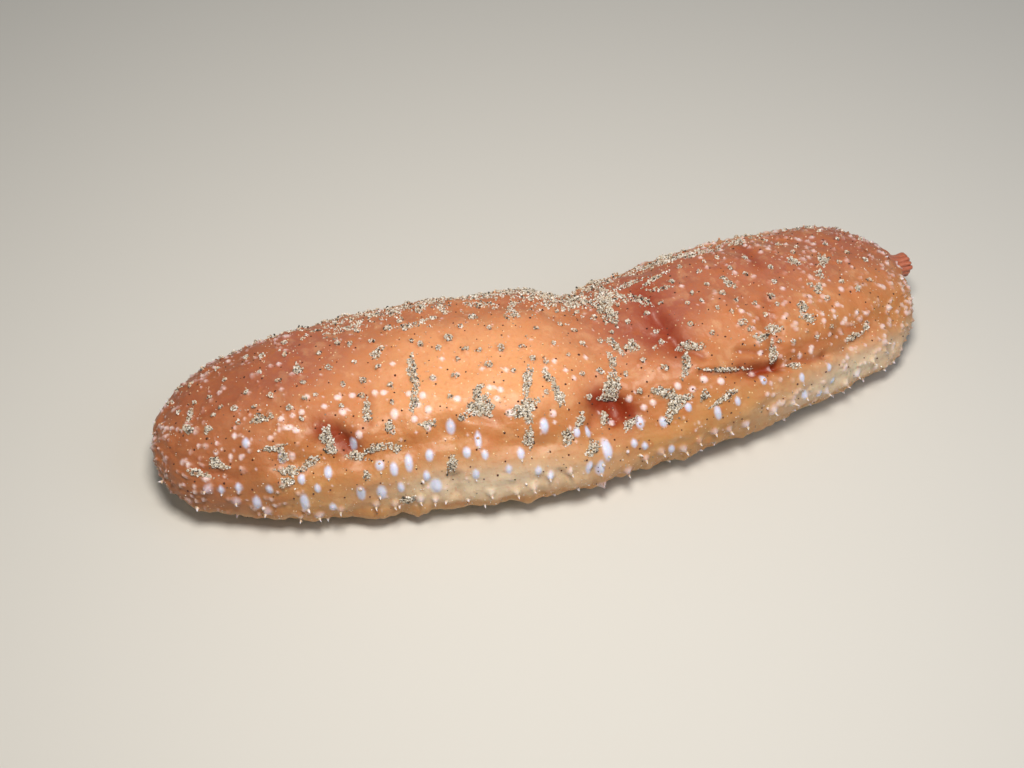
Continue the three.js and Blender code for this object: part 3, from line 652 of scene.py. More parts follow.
def skin_material():
    """Living holothurian skin, grown and kept wet: translucent, softly glossy and finely speckled.
    Light goes a millimetre or two in, so shadows in the furrows glow orange."""
    material, tree = new_material("wet_sea_cucumber_skin")
    place = add_node(tree, "ShaderNodeTexCoord").outputs["Object"]
    field = {name: add_node(tree, "ShaderNodeAttribute", attribute_name=name).outputs["Fac"]
             for name in ("zone", "pale", "painted_light", "end", "hollow", "wart", "sand_shadow", "spot", "upper")}
    # Clouds of 16 mm, mottling of 4.5 mm, a 1.3 mm grain and 0.45 mm pores.
    cloud, mottle, fine, pore = [
        add_node(tree, "ShaderNodeTexNoise", {"Vector": place, "Scale": grain_scale(size), "Detail": 3.0})
        for size in (16.0, 4.5, 1.3, 0.45)]
    drift = add_node(tree, "ShaderNodeMath", {0: cloud, 1: 0.26, 2: -0.13}, operation="MULTIPLY_ADD")
    zone = add_node(tree, "ShaderNodeMath", {0: field["zone"], 1: drift}, operation="ADD")
    base = add_node(tree, "ShaderNodeValToRGB", {"Fac": zone})
    elements = base.color_ramp.elements
    for i, (at, name) in enumerate(SKIN_STOPS):
        element = elements[i] if i < 2 else elements.new(at)
        element.position = at
        element.color = colour(SKIN_LOOK[name])
    # Layers of colour over the ramp: what is stepped, from, to, the most it covers, and the colour.
    layers = [
        (mottle, 0.5, 0.72, 0.45, "blotch"),
        (mottle, 0.47, 0.3, 0.22, "pale_blotch"),
        (field["pale"], 0.0, 1.0, 0.85, "pale"),
        # Painted light: a pool of light laid over the near flank.
        (field["painted_light"], 0.0, 1.0, 0.75, "painted_light"),
        # Darker brown ends: partly their own colour, partly painted falloff of the light.
        (field["end"], 0.0, 1.0, 0.8, "end"),
        (fine, 0.5, 0.75, 0.3, "blotch"),
        (field["wart"], 0.0, 1.0, 0.35, "wart"),
        # Red in the creases and furrows, partly painted shade.
        (field["hollow"], 0.0, 0.95, 0.92, "hollow"),
        # Painted shadow under the patches of sand.
        (field["sand_shadow"], 0.1, 0.8, 0.5, "sand_bed"),
    ]
    ragged = add_node(tree, "ShaderNodeMath", {0: fine, 1: 0.3, 2: -0.15}, operation="MULTIPLY_ADD")
    for name, most, look in (("spot", 0.93, "spot"), ("upper", 0.86, "spot_upper")):
        edge = add_node(tree, "ShaderNodeMath", {0: field[name], 1: ragged}, operation="ADD")
        layers.append((edge, 0.12, 1.0, most, look))
    for value, low, high, most, name in layers:
        share = add_node(tree, "ShaderNodeMapRange", {
            "Value": value, "From Min": low, "From Max": high, "To Max": most,
        }, interpolation_type="SMOOTHSTEP")
        base = add_node(tree, "ShaderNodeMix", {0: share, 6: base, 7: colour(SKIN_LOOK[name])},
                        data_type="RGBA")
    # Cream specks of the skin's lime bodies, each about half a millimetre across and 2 mm apart.
    specks = add_node(tree, "ShaderNodeTexVoronoi", {"Vector": place, "Scale": grain_scale(1.9)})
    speck = add_node(tree, "ShaderNodeMapRange", {
        "Value": specks, "From Min": 0.16, "From Max": 0.08}, interpolation_type="SMOOTHSTEP")
    kept = add_node(tree, "ShaderNodeMapRange", {
        "Value": specks.outputs["Color"], "From Min": 0.4, "From Max": 0.45, "To Max": 0.75})
    share = add_node(tree, "ShaderNodeMath", {0: speck, 1: kept}, operation="MULTIPLY")
    base = add_node(tree, "ShaderNodeMix", {0: share, 6: base, 7: colour(SKIN_LOOK["speck"])},
                    data_type="RGBA")
    grain = add_node(tree, "ShaderNodeBump", {"Height": fine, "Strength": 0.5, "Distance": 0.4 * MM})
    pores = add_node(tree, "ShaderNodeBump", {
        "Height": pore, "Strength": 0.3, "Distance": 0.12 * MM, "Normal": grain})
    rough = add_node(tree, "ShaderNodeMath", {0: mottle, 1: 0.2, 2: 0.36}, operation="MULTIPLY_ADD")
    surface = add_node(tree, "ShaderNodeBsdfPrincipled", {
        **WET_FLESH, "Base Color": base, "Roughness": rough, "Subsurface Weight": 0.3,
        "Subsurface Radius": (1.0, 0.38, 0.18), "Subsurface Scale": 1.8 * MM, "Normal": pores})
    add_node(tree, "ShaderNodeOutputMaterial", {"Surface": surface})
    return material


def papilla_material():
    """Papilla flesh, grown thin and full of water: light passes into it, and it turns unevenly
    from the colour of its root to that of its tip."""
    material, tree = new_material("translucent_papilla_flesh")
    share = add_node(tree, "ShaderNodeAttribute", attribute_name="height_share").outputs["Fac"]
    root = add_node(tree, "ShaderNodeAttribute", attribute_name="root_colour").outputs["Color"]
    tip = add_node(tree, "ShaderNodeAttribute", attribute_name="tip_colour").outputs["Color"]
    place = add_node(tree, "ShaderNodeTexCoord").outputs["Object"]
    mottle = add_node(tree, "ShaderNodeTexNoise", {
        "Vector": place, "Scale": grain_scale(0.9), "Detail": 2.0})
    uneven = add_node(tree, "ShaderNodeMath", {0: mottle, 1: 0.3, 2: -0.15}, operation="MULTIPLY_ADD")
    moved = add_node(tree, "ShaderNodeMath", {0: share, 1: uneven}, operation="ADD")
    towards = add_node(tree, "ShaderNodeMapRange", {"Value": moved, "From Min": 0.0, "From Max": 0.6},
                       interpolation_type="SMOOTHSTEP")
    base = add_node(tree, "ShaderNodeMix", {0: towards, 6: root, 7: tip}, data_type="RGBA")
    bump = add_node(tree, "ShaderNodeBump", {"Height": mottle, "Strength": 0.3, "Distance": 0.15 * MM})
    surface = add_node(tree, "ShaderNodeBsdfPrincipled", {
        **WET_FLESH, "Base Color": base, "Roughness": 0.38, "Subsurface Weight": 0.35,
        "Subsurface Radius": (1.0, 0.6, 0.4), "Subsurface Scale": 1.2 * MM, "Normal": bump})
    add_node(tree, "ShaderNodeOutputMaterial", {"Surface": surface})
    return material


def sand_material():
    """Shell and quartz sand, broken and tumbled by the sea: matt grains, each of one tone."""
    material, tree = new_material("sea_sand_grains")
    tone = add_node(tree, "ShaderNodeAttribute", attribute_name="tone").outputs["Color"]
    place = add_node(tree, "ShaderNodeTexCoord").outputs["Object"]
    speckle = add_node(tree, "ShaderNodeTexNoise", {
        "Vector": place, "Scale": grain_scale(0.3), "Detail": 2.0})
    dirt = add_node(tree, "ShaderNodeMapRange", {
        "Value": speckle, "From Min": 0.55, "From Max": 0.7, "To Max": 0.3})
    base = add_node(tree, "ShaderNodeMix", {0: dirt, 6: tone, 7: colour("#6F6A60")}, data_type="RGBA")
    bump = add_node(tree, "ShaderNodeBump", {"Height": speckle, "Strength": 0.4, "Distance": 0.06 * MM})
    surface = add_node(tree, "ShaderNodeBsdfPrincipled", {
        "Base Color": base, "Roughness": 0.6, "Normal": bump})
    add_node(tree, "ShaderNodeOutputMaterial", {"Surface": surface})
    return material


def flesh_material(name, pale, dark, size_mm):
    """Thin soft flesh of mouth, vent and tube feet, grown in folds and kept wet: it glows a
    little where light goes in, in one hue, with painted shade in its folds and openings and darker own
    tones on the tentacles."""
    material, tree = new_material(name)
    place = add_node(tree, "ShaderNodeTexCoord").outputs["Object"]
    mottle = add_node(tree, "ShaderNodeTexNoise", {
        "Vector": place, "Scale": grain_scale(size_mm), "Detail": 3.0})
    # Painted shade of folds and openings, and the tentacles' own darker tones.
    shade_and_tone = add_node(tree, "ShaderNodeAttribute", attribute_name="shade_and_tone").outputs["Fac"]
    uneven = add_node(tree, "ShaderNodeMath", {0: mottle, 1: 0.6, 2: -0.3}, operation="MULTIPLY_ADD")
    shade = add_node(tree, "ShaderNodeMath", {0: shade_and_tone, 1: uneven}, operation="ADD", use_clamp=True)
    base = add_node(tree, "ShaderNodeMix", {0: shade, 6: colour(pale), 7: colour(dark)},
                    data_type="RGBA")
    bump = add_node(tree, "ShaderNodeBump", {"Height": mottle, "Strength": 0.3, "Distance": 0.2 * MM})
    surface = add_node(tree, "ShaderNodeBsdfPrincipled", {
        **WET_FLESH, "Base Color": base, "Roughness": 0.4, "Subsurface Weight": 0.3,
        "Subsurface Radius": (1.0, 0.5, 0.3), "Subsurface Scale": 1.2 * MM, "Normal": bump})
    add_node(tree, "ShaderNodeOutputMaterial", {"Surface": surface})
    return material


def press_fine_forms(skin, sight):
    """Soft undulation, wrinkles, scalloped margin and thin creases of the skin."""
    x, around, r = skin.grid_x, skin.grid_around, skin.r
    middle = end_rounding(x)
    back = smooth((r - 1.2) / 0.5)
    swell = waves_of(skin.points, "swell") + waves_of(skin.points, "lumps")
    # Points drawn together in a direction make the waves long that way, so these run round the body.
    stretched = skin.points * np.array([1.0, 0.34, 0.34])
    wrinkles = waves_of(stretched, "wrinkles") + waves_of(skin.points, "grain")
    margin = np.exp(-((r - MARGIN_AT) / MARGIN_WIDE)**2)
    edge = skin.points * np.array([1.0, 0.12, 0.12])
    scallops = margin * (waves_of(edge, "scallops") + waves_of(edge, "frills"))
    skin.relief += (back * (swell + wrinkles) + scallops) * middle
    skin.relief += (1 - smooth((r - 0.9) / 0.3)) * waves_of(skin.points, "sole")
    # The nose end draws together in fine wrinkles that run back from its tip.
    near_tip = smooth((NOSE_X + 26 - x) / 22) * smooth((r - 1.7) / 0.4)
    skin.relief += near_tip * waves_of(skin.points * np.array([0.4, 1.0, 1.0]), "tip")
    # Red in the creases and furrows, partly painted shade; deeper furrows get more of it.
    hollow = skin.masks["hollow"]
    for crease in FINE_CREASES:
        shape = crease_shape(crease, x, around) * middle
        skin.relief -= crease[4] * shape
        np.maximum(hollow, crease[6] * shape, out=hollow)
    for crease in CREASES:
        np.maximum(hollow, crease[6] * crease_shape(crease, x, around)**1.5, out=hollow)
    furrow = furrow_depth(x, around) * middle
    np.maximum(hollow, np.clip(furrow / 5.5, 0, 0.4), out=hollow)
    draw = rng("creases")
    steps = 7
    most_stray = 1.3
    for from_x, from_y, to_x, to_y, wide, deep, red in SEEN_CREASES:
        path = []
        for share in np.linspace(0, 1, steps):
            stray = draw.uniform(-most_stray, most_stray, 2) * math.sin(share * math.pi)
            found = sight.cast(from_x + (to_x - from_x) * share + stray[0],
                               from_y + (to_y - from_y) * share + stray[1])
            if found:
                path.append(found[0])
        if len(path) > 1:
            skin.press_line(np.array(path), wide, deep, red)
    towards_tail = np.clip((x - (TAIL_X - PUCKER_LONG)) / PUCKER_LONG, 0, 1)
    angle = np.arctan2(skin.points[..., 2] - VENT_HEIGHT, skin.points[..., 1] - vent_centre()[1])
    pucker = np.sin(angle * PUCKER_FOLDS + 0.8 * ripple(skin.points, 12.0, "pucker"))
    skin.relief += PUCKER_DEPTH * towards_tail * pucker


def vent_centre():
    return in_section(np.array(VENT_X), np.array(0.0), np.array(VENT_HEIGHT))


def mouth_centre():
    return in_section(np.array(MOUTH_X), np.array(0.0), np.array(0.0))


def zone_of(skin):
    """Where the colours lie: pale sole, tan skirt, flank and a red back that leans right; the flank's
    bright patch is painted light, laid on in build_skin.
    """
    around, x, r = skin.grid_around, skin.grid_x, skin.r
    low = np.interp(r, *zip(*ZONE_STOPS))
    red = np.exp(-((around - 3.46) / 0.4)**2) * 0.24
    # The back leans darker at front and rear: partly its own colour, partly painted falloff of the light.
    front = smooth((-56 - x) / 40) * smooth((around - 2.65) / 0.5) * 0.17
    rear = smooth((x - 15) / 20) * smooth((around - 2.5) / 0.4) * smooth((4.2 - around) / 0.4) * 0.07
    waist = 0.18 * np.exp(-((x - 26) / 15)**2 - ((around - 3.0) / 0.4)**2)
    return np.clip(low + red + front + rear + waist, 0, 1)


def place_spots(skin, sight):
    """White papillae: those of the photograph on the near side, seeded ones elsewhere."""
    draw = rng("spots")
    scale = sight.spacing()
    tips = []
    for px, py, wide, high in SKIRT_SPOTS:
        found = sight.cast(px, py)
        if found:
            i, j = found[2]
            skin.raise_form(i, j, wide * scale * 0.5, high * scale * 0.62, 0.8, "spot", 1.0, 1.6)
            if draw.random() < 0.2:
                tips.append((*skin.nearest(skin.x[i], skin.around[j] - 0.05), 0.3, 0.8))
    for px, py, wide, high in BACK_SPOTS:
        found = sight.cast(px, py)
        if found:
            i, j = found[2]
            size = scale * 0.5
            skin.raise_form(i, j, wide * size, high * size, 0.5, "upper", 0.95, 1.6)
    hidden_spots = 170
    for _ in range(hidden_spots):
        i, j = skin.nearest(draw.uniform(-118, 114), draw.uniform(3.6, 4.4))
        size = draw.uniform(0.9, 1.9)
        kind = "spot" if skin.around[j] > 3.8 else "upper"
        skin.raise_form(i, j, size, size * draw.uniform(1.0, 1.7), 0.65, kind, draw.uniform(0.6, 1), 1.6)
        if draw.random() < 0.3:
            tips.append((i, j, 0.28, 0.8))
    # Small pinkish papillae stand everywhere, and more and larger ones towards the two ends. A
    # reach is its first and last place, the count, and how much larger they may grow.
    reaches = [(-125, 119, 600, 0.0), (50, 122, 460, 0.42), (-126, -84, 300, 0.4), (110, 124, 90, 0.4)]
    for first, last, count, larger in reaches:
        for _ in range(count):
            i, j = skin.nearest(draw.uniform(first, last), draw.uniform(1.95, 4.1))
            size = draw.uniform(0.45, 0.85) + larger * draw.uniform(0, 1.6)
            strength = draw.uniform(0.3, 0.85)
            skin.raise_form(i, j, size, size, 0.3 + larger * draw.uniform(0.5, 1.8), "upper", strength,
                            1.3)
    return tips


def place_warts(skin, sight):
    """Low warts of the back, each a seat for a clump of sand; returns the places of their tips."""
    draw = rng("warts")
    scale = sight.spacing()
    tips = []
    for px, py, wide in SAND_CAPS:
        found = sight.cast(px, py)
        if found:
            tips.append((*found[2], wide * scale * 0.5))
    taken = [skin.points[i, j] for i, j, _ in tips]
    tries = 2600
    for _ in range(tries):
        i, j = skin.nearest(draw.uniform(-123, 117), draw.uniform(2.72, 4.1))
        here = skin.points[i, j]
        if min(np.linalg.norm(here - other) for other in taken) < draw.uniform(5.0, 9.0):
            continue
        taken.append(here)
        tips.append((i, j, draw.uniform(0.8, 1.4)))
    for i, j, size in tips:
        skin.raise_form(i, j, size * 1.3, size * 1.3, min(size * 0.6, 0.9), "wart", 1.0)
    return tips


def raise_edge(skin, sight):
    """Papillae of the lower margin, flared at the root and drawn out to a point."""
    draw = rng("edge")
    seats = []
    for px, py in EDGE_PAPILLAE:
        found = sight.cast(px, py)
        if found:
            i, j = found[2]
            seats.append((i, j, draw.uniform(1.5, 2.1), draw.uniform(1.9, 2.6)))
    first, last, step = -116, 112, 8.6
    for x in np.arange(first, last, step):
        i, j = skin.nearest(x + draw.uniform(-2.5, 2.5), FULL_ROUND - draw.uniform(1.68, 1.95))
        seats.append((i, j, draw.uniform(1.4, 2.1), draw.uniform(1.7, 2.6)))
    tips = []
    for i, j, wide, high in seats:
        lean = np.array([draw.uniform(-0.3, 0.3), 0, draw.uniform(-0.15, 0.2)])
        skin.raise_form(i, j, wide, wide * 1.15, high, "spot", draw.uniform(0.3, 0.6), 1.05, lean)
        tips.append((i, j, 0.28, draw.uniform(0.8, 1.2)))
    return tips


def paint_sand_shadows(skin, sight):
    """Painted shadow under the patches of sand, where the grains shade the skin."""
    scale = sight.spacing()
    for px, py, wide, high, _ in SAND_PATCHES:
        found = sight.cast(px, py)
        if found:
            i, j = found[2]
            # Painted shadow under this patch of sand.
            skin.raise_form(i, j, wide * scale * 0.42, high * scale * 0.5, 0.25, "sand_shadow", 0.8)


def hollow_mouth(points):
    """Draws the lifted underside up into the hollow that holds mouth and tentacles."""
    centre = mouth_centre()
    off = np.hypot(points[..., 0] - centre[0], points[..., 1] - centre[1])
    below = smooth((MOUTH_CEILING + 4 - points[..., 2]) / 2)
    share = smooth((MOUTH_RADIUS + 1.6 - off) / 2.4) * below
    lifted = points.copy()
    lifted[..., 2] += np.clip(MOUTH_CEILING - points[..., 2], 0, None) * share
    return lifted


def skin_unwrap(rings, columns):
    """Place of every face corner on the unrolled body: along it, and round it."""
    j = np.arange(columns)
    u = (np.arange(rings) + 0.5) / rings
    v_low = j / columns
    v_high = (j + 1) / columns
    corners = np.empty((rings - 1, columns, 4, 2))
    places = ((u[1:], v_low), (u[1:], v_high), (u[:-1], v_high), (u[:-1], v_low))
    for corner, (place, v) in enumerate(places):
        corners[:, :, corner, 0] = place[:, None]
        corners[:, :, corner, 1] = v[None]
    middle = (v_low + v_high) / 2
    fans = []
    for end, pole, first, second in ((u[0], 0.0, v_low, v_high), (u[-1], 1.0, v_high, v_low)):
        fan = np.empty((columns, 3, 2))
        fan[:, 0] = np.stack([np.full(columns, end), first], -1)
        fan[:, 1] = np.stack([np.full(columns, end), second], -1)
        fan[:, 2] = np.stack([np.full(columns, pole), middle], -1)
        fans.append(fan.reshape(-1, 2))
    return np.concatenate([corners.reshape(-1, 2), *fans])


def build_skin():
    skin = Skin()
    sight = Sight(skin)
    press_fine_forms(skin, sight)
    spot_tips = place_spots(skin, sight)
    wart_tips = place_warts(skin, sight)
    edge_tips = raise_edge(skin, sight)
    paint_sand_shadows(skin, sight)
    # The ends turn darker brown: partly their own colour, partly painted falloff of the light.
    skin.masks["end"] = smooth((-70 - skin.grid_x) / 46) * smooth((skin.r - 1.6) / 0.5)
    rear_end = 0.4 * smooth((skin.grid_x - 104) / 20) * smooth((skin.r - 2.4) / 0.4)
    skin.masks["end"] = np.maximum(skin.masks["end"], rear_end)
    # The skirt turns cream where it is drawn out thin: before the middle and along the rear.
    drawn_out = np.exp(-((skin.grid_x + 32) / 36)**2) + np.exp(-((skin.grid_x - 86) / 34)**2)
    # The cream starts only above the lower edge, which keeps that edge darker: painted shade near the
    # floor.
    skin.masks["pale"] = drawn_out * smooth((2.5 - skin.r) / 0.5) * smooth((skin.r - 1.8) / 0.36)
    # Painted light: a pool of light on the near flank, brightest a little before the middle.
    near_side = smooth((skin.grid_around - 2.5) / 0.25) * smooth((3.35 - skin.grid_around) / 0.45)
    skin.masks["painted_light"] = near_side * np.exp(-((skin.grid_x + 30) / 36)**2)
    skin.points = skin.points + skin.normal * (skin.relief + skin.lift)[..., None]
    skin.points = skin.points + skin.lean * skin.lift[..., None]
    skin.points = hollow_mouth(skin.points)
    margin = 0.35
    skin.points = np.clip(skin.points, LOW + margin, HIGH - margin)
    rings, columns = skin.grid_x.shape
    skin.zone = zone_of(skin)
    points = skin.points.reshape(-1, 3)
    poles = np.array([skin.points[0].mean(0), skin.points[-1].mean(0)])
    first, last = len(points), len(points) + 1
    faces = quads(rings, columns)[:, ::-1]
    j = np.arange(columns)
    k = (j + 1) % columns
    start = np.stack([j, k, np.full(columns, first)], -1)
    end = np.stack([(rings - 1) * columns + k, (rings - 1) * columns + j, np.full(columns, last)], -1)
    all_faces = faces.tolist() + start.tolist() + end.tolist()
    piece = add_object("skin", np.vstack([points, poles]), all_faces, skin_material())
    for name, values in [("zone", skin.zone), *skin.masks.items()]:
        add_values(piece, name, np.append(values.ravel(), [values[0].mean(), values[-1].mean()]))
    add_unwrap(piece, skin_unwrap(rings, columns))
    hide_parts(*[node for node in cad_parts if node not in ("mouth", "vent")])
    skin.measure()
    return skin, Sight(skin), spot_tips, wart_tips, edge_tips


def root_tints(skin, i, j):
    """The colour that the skin has where each papilla grows, for its root."""
    places = [at for at, _ in SKIN_STOPS]
    codes = np.array([colour(SKIN_LOOK[name]) for _, name in SKIN_STOPS])
    tint = np.stack([np.interp(skin.zone[i, j], places, codes[:, c]) for c in range(4)], -1)
    # The darker ends, partly painted falloff of the light, carry onto the roots.
    end = skin.masks["end"][i, j][:, None] * 0.8
    return tint * (1 - end) + np.array(colour(SKIN_LOOK["end"])) * end


def cone_field(name, skin, seats, material, tip_colour, sides=9, root_colour=None):
    """Many tapering papillae as one mesh. A seat is ring, column, radius, length and lean."""
    wide, high = np.array([(1.7, -0.2), (1.3, 0.0), (1.0, 0.16), (0.8, 0.34), (0.56, 0.58),
                           (0.34, 0.8), (0.14, 0.95)]).T
    levels = len(wide)
    margin = 0.1
    seats = [seat for seat in seats
             if inside(skin.points[seat[0], seat[1]] + skin.normal[seat[0], seat[1]] * seat[3], margin)]
    i = np.array([seat[0] for seat in seats])
    j = np.array([seat[1] for seat in seats])
    radius = np.array([seat[2] for seat in seats])[:, None, None, None]
    length = np.array([seat[3] for seat in seats])[:, None, None, None]
    count = len(seats)
    normal = skin.normal[i, j] + np.array([seat[4] for seat in seats])
    normal /= np.linalg.norm(normal, axis=1, keepdims=True)
    side = crossed(normal, skin.along[i, j])
    front = np.cross(side, normal)
    turn = np.linspace(0, 2 * math.pi, sides, endpoint=False)
    ring = np.cos(turn)[None, :, None] * side[:, None] + np.sin(turn)[None, :, None] * front[:, None]
    base = skin.points[i, j][:, None, None]
    bend = 0.18 * length * skin.along[i, j][:, None, None]
    rise = high[None, :, None, None]
    body = (base + ring[:, None] * radius * wide[None, :, None, None]
            + normal[:, None, None] * length * rise + bend * rise**2)
    tips = (base + normal[:, None, None] * length + bend).reshape(count, 1, 3)
    points = np.concatenate([body.reshape(count, levels * sides, 3), tips], 1)
    step = np.arange(sides)
    following = (step + 1) % sides
    walls = quads(levels, sides)
    top = (levels - 1) * sides
    cap = np.stack([top + step, top + following, np.full(sides, levels * sides)], -1)
    offset = (np.arange(count) * (levels * sides + 1))[:, None, None]
    faces = (walls + offset).reshape(-1, 4).tolist() + (cap + offset).reshape(-1, 3).tolist()
    piece = add_object(name, points.reshape(-1, 3), faces, material)
    share = np.append(np.repeat(np.maximum(high, 0), sides), 1.0)
    add_values(piece, "height_share", np.tile(share, count))
    each = levels * sides + 1
    roots = root_tints(skin, i, j) if root_colour is None else np.tile(colour(root_colour), (count, 1))
    add_colours(piece, "root_colour", np.repeat(roots, each, 0))
    add_colours(piece, "tip_colour", np.tile(colour(tip_colour), (count * each, 1)))
    # Each papilla is a small patch of the skin's own unwrap, at the place of its root.
    patch = 0.0015
    rings, columns = skin.grid_x.shape
    middle = np.stack([(i + 0.5) / rings, (j + 0.5) / columns], -1)
    level, at = np.divmod(np.arange(levels * sides), sides)
    out = patch * (1 - level / levels)
    flat = np.stack([out * np.cos(turn[at]), out * np.sin(turn[at])], -1)
    flat = np.vstack([flat, [[0, 0]]])
    corners = middle[:, None] + flat[None]
    add_unwrap(piece, np.clip(np.concatenate([
        corners[:, walls].reshape(-1, 2), corners[:, cap].reshape(-1, 2)]), 0, 1))
    return piece


def margin_papillae(skin, tips, material):
    """Pointed tips of the margin's papillae, with smaller whole ones between them."""
    draw = rng("margin")
    seats = []
    for i, j, radius, length in tips:
        lean = np.array([draw.uniform(-0.35, 0.35), 0, draw.uniform(-0.25, 0.2)])
        seats.append((i, j, radius, length, lean))
    first, last, step = -116, 114, 7.2
    for side in (0, 1):
        for x in np.arange(first, last, step):
            r = draw.uniform(1.6, 2.25)
            i, j = skin.nearest(x + draw.uniform(-3, 3), FULL_ROUND - r if side else r)
            lean = skin.along[i, j] * draw.uniform(-0.4, 0.4) + np.array([0, 0, draw.uniform(-0.2, 0.3)])
            seats.append((i, j, draw.uniform(0.4, 0.6), draw.uniform(0.8, 1.5), lean))
    # A row of them goes over each end of the body.
    for around in np.arange(1.8, 4.21, 0.3):
        for x in (-126.4, 119.5):
            i, j = skin.nearest(x, around + draw.uniform(-0.1, 0.1))
            seats.append((i, j, draw.uniform(0.4, 0.6), draw.uniform(0.7, 1.2), np.zeros(3)))
    cone_field("margin_papillae", skin, seats, material, "#EAE2EA", root_colour="#DDC3A6")


def back_papillae(skin, tips, material):
    """Small soft tips on some of the back's warts and between them."""
    draw = rng("back")
    seats = []
    for i, j, size in tips:
        if draw.random() < 0.5:
            lean = skin.along[i, j] * draw.uniform(-0.3, 0.3)
            seats.append((i, j, draw.uniform(0.28, 0.42), size * draw.uniform(0.5, 0.8), lean))
    between_warts = 380
    for _ in range(between_warts):
        i, j = skin.nearest(draw.uniform(-123, 117), draw.uniform(2.3, 4.2))
        seats.append((i, j, draw.uniform(0.22, 0.34), draw.uniform(0.35, 0.6), np.zeros(3)))
    cone_field("back_papillae", skin, seats, material, "#F0C7A8", sides=7)


def dark_tips(skin, sight, material):
    """Dark brown pin-point papillae scattered over back and flanks, with very few on white spots."""
    draw = rng("dark tips")
    seats = []
    for px, py, _, _ in BACK_SPOTS:
        found = sight.cast(px + 0.6, py + 0.8)
        if found and draw.random() < 0.12:
            seats.append((*found[2], 0.2, 0.34, np.zeros(3)))
    taken = [skin.points[seat[0], seat[1]] for seat in seats]
    tries = 1500
    for _ in range(tries):
        i, j = skin.nearest(draw.uniform(-118, 112), draw.uniform(2.1, 3.95))
        here = skin.points[i, j]
        on_spot = skin.masks["spot"][i, j] + skin.masks["upper"][i, j] > 0.3
        if on_spot or min(np.linalg.norm(here - other) for other in taken) < draw.uniform(2.6, 6.0):
            continue
        taken.append(here)
        seats.append((i, j, draw.uniform(0.19, 0.3), 0.34, np.zeros(3)))
    cone_field("dark_tips", skin, seats, material, SKIN_LOOK["dark_tip"], sides=6,
               root_colour=SKIN_LOOK["dark_tip"])


SAND_TONES = [("#E0D4C0", 0.32), ("#F8F4EC", 0.28), ("#C2B8A6", 0.14), ("#948E84", 0.08),
              ("#4A4640", 0.1), ("#B39474", 0.08)]
GRAIN_CORNERS = np.array([[x, y, z] for x in (-1, 1) for y in (-1, 1) for z in (-1, 1)], float)
GRAIN_FACES = np.array([[0, 1, 3, 2], [4, 6, 7, 5], [0, 4, 5, 1], [2, 3, 7, 6], [0, 2, 6, 4],
                        [1, 5, 7, 3]])
# A grain has 12 triangles, so a piece of this many has 180,000.
GRAINS_PER_PIECE = 15000
FULL_SIZE = 1.0


def patch_seats(sight, patches, density, thickest, draw):
    """Grains of ragged patches: each patch is an ellipse with a wavy edge, thickest in its middle.
    A seat is the grain's place, its outward direction and its share of the full size."""
    seats = []
    for px, py, wide, high, lean in patches:
        angle = math.radians(lean)
        phase = draw.uniform(0, 2 * math.pi, 3)
        for _ in range(int(wide * high * density) + 8):
            turn = draw.uniform(0, 2 * math.pi)
            out = math.sqrt(draw.random())
            edge = 1 + 0.24 * math.sin(2 * turn + phase[0]) + 0.24 * math.sin(3 * turn + phase[1])
            edge += 0.18 * math.sin(7 * turn + phase[2])
            dx = 0.52 * wide * out * edge * math.cos(turn)
            dy = 0.52 * high * out * edge * math.sin(turn)
            # Grains keep to clots two or three pixels wide, so skin shows between them.
            clot = math.sin(1.9 * dx + 1.1 * dy + phase[0]) + math.sin(1.3 * dx - 2.1 * dy + phase[1])
            if clot < draw.uniform(-1.6, 0.2) * (1.3 - 0.6 * out):
                continue
            found = sight.cast(px + dx * math.cos(angle) - dy * math.sin(angle),
                               py + dx * math.sin(angle) + dy * math.cos(angle))
            if found:
                depth = draw.uniform(-0.05, 0.1 + thickest * (1 - out**2))
                seats.append((found[0] + found[1] * depth, found[1], FULL_SIZE))
    return seats


def grain_seats(skin, sight, tips):
    """Where the grains lie: the photograph's patches, clumps on the warts, and a loose dusting."""
    draw = rng("sand")
    furthest, hidden_patches, loose_grains = 4, 34, 2600
    seats = patch_seats(sight, SAND_PATCHES, 1.7, 0.55, draw)
    seats += patch_seats(sight, SAND_DRIFTS, 1.0, 0.3, draw)

    def scatter(i, j, count, long, wide, rise):
        centre = skin.points[i, j]
        for _ in range(count):
            turn = draw.uniform(0, 2 * math.pi)
            out = math.sqrt(draw.random())
            goal = (centre + skin.along[i, j] * (out * long * math.cos(turn))
                    + skin.round[i, j] * (out * wide * math.sin(turn)))
            hit, normal, _, far = sight.tree.find_nearest(Vector(goal))
            if far < furthest:
                normal = np.array(normal)
                if normal @ skin.normal[i, j] < 0:
                    normal = -normal
                depth = draw.uniform(-0.05, 0.1 + rise * (1 - out**2))
                seats.append((np.array(hit) + normal * depth, normal, FULL_SIZE))

    for place, (i, j, size) in enumerate(tips):
        if place < len(SAND_CAPS) or draw.random() < 0.75:
            long = size * draw.uniform(0.6, 1.1)
            scatter(i, j, int(15 * size * size) + 6, long, size * draw.uniform(0.6, 1.0), 0.45)
    for x, around, long, wide in DUSTED:
        for _ in range(int(long * 5)):
            at = x + draw.normal() * long * 0.5
            i, j = skin.nearest(at, around + draw.normal() * wide * 0.7)
            scatter(i, j, 5, 0.8, 0.8, 0.2)
    for _ in range(hidden_patches):
        i, j = skin.nearest(draw.uniform(-112, 108), draw.uniform(3.55, 4.3))
        count = int(draw.uniform(40, 130))
        size = 0.17 * math.sqrt(count)
        shape = draw.uniform(0.6, 1.7)
        scatter(i, j, count, size * shape, size / shape, 0.6)
    for _ in range(loose_grains):
        i, j = skin.nearest(draw.uniform(-125, 121), draw.uniform(1.75, 4.25))
        seats.append((skin.points[i, j], skin.normal[i, j], draw.uniform(0.45, 0.8)))
    margin = 0.65
    return [seat for seat in seats if inside(seat[0], margin)]


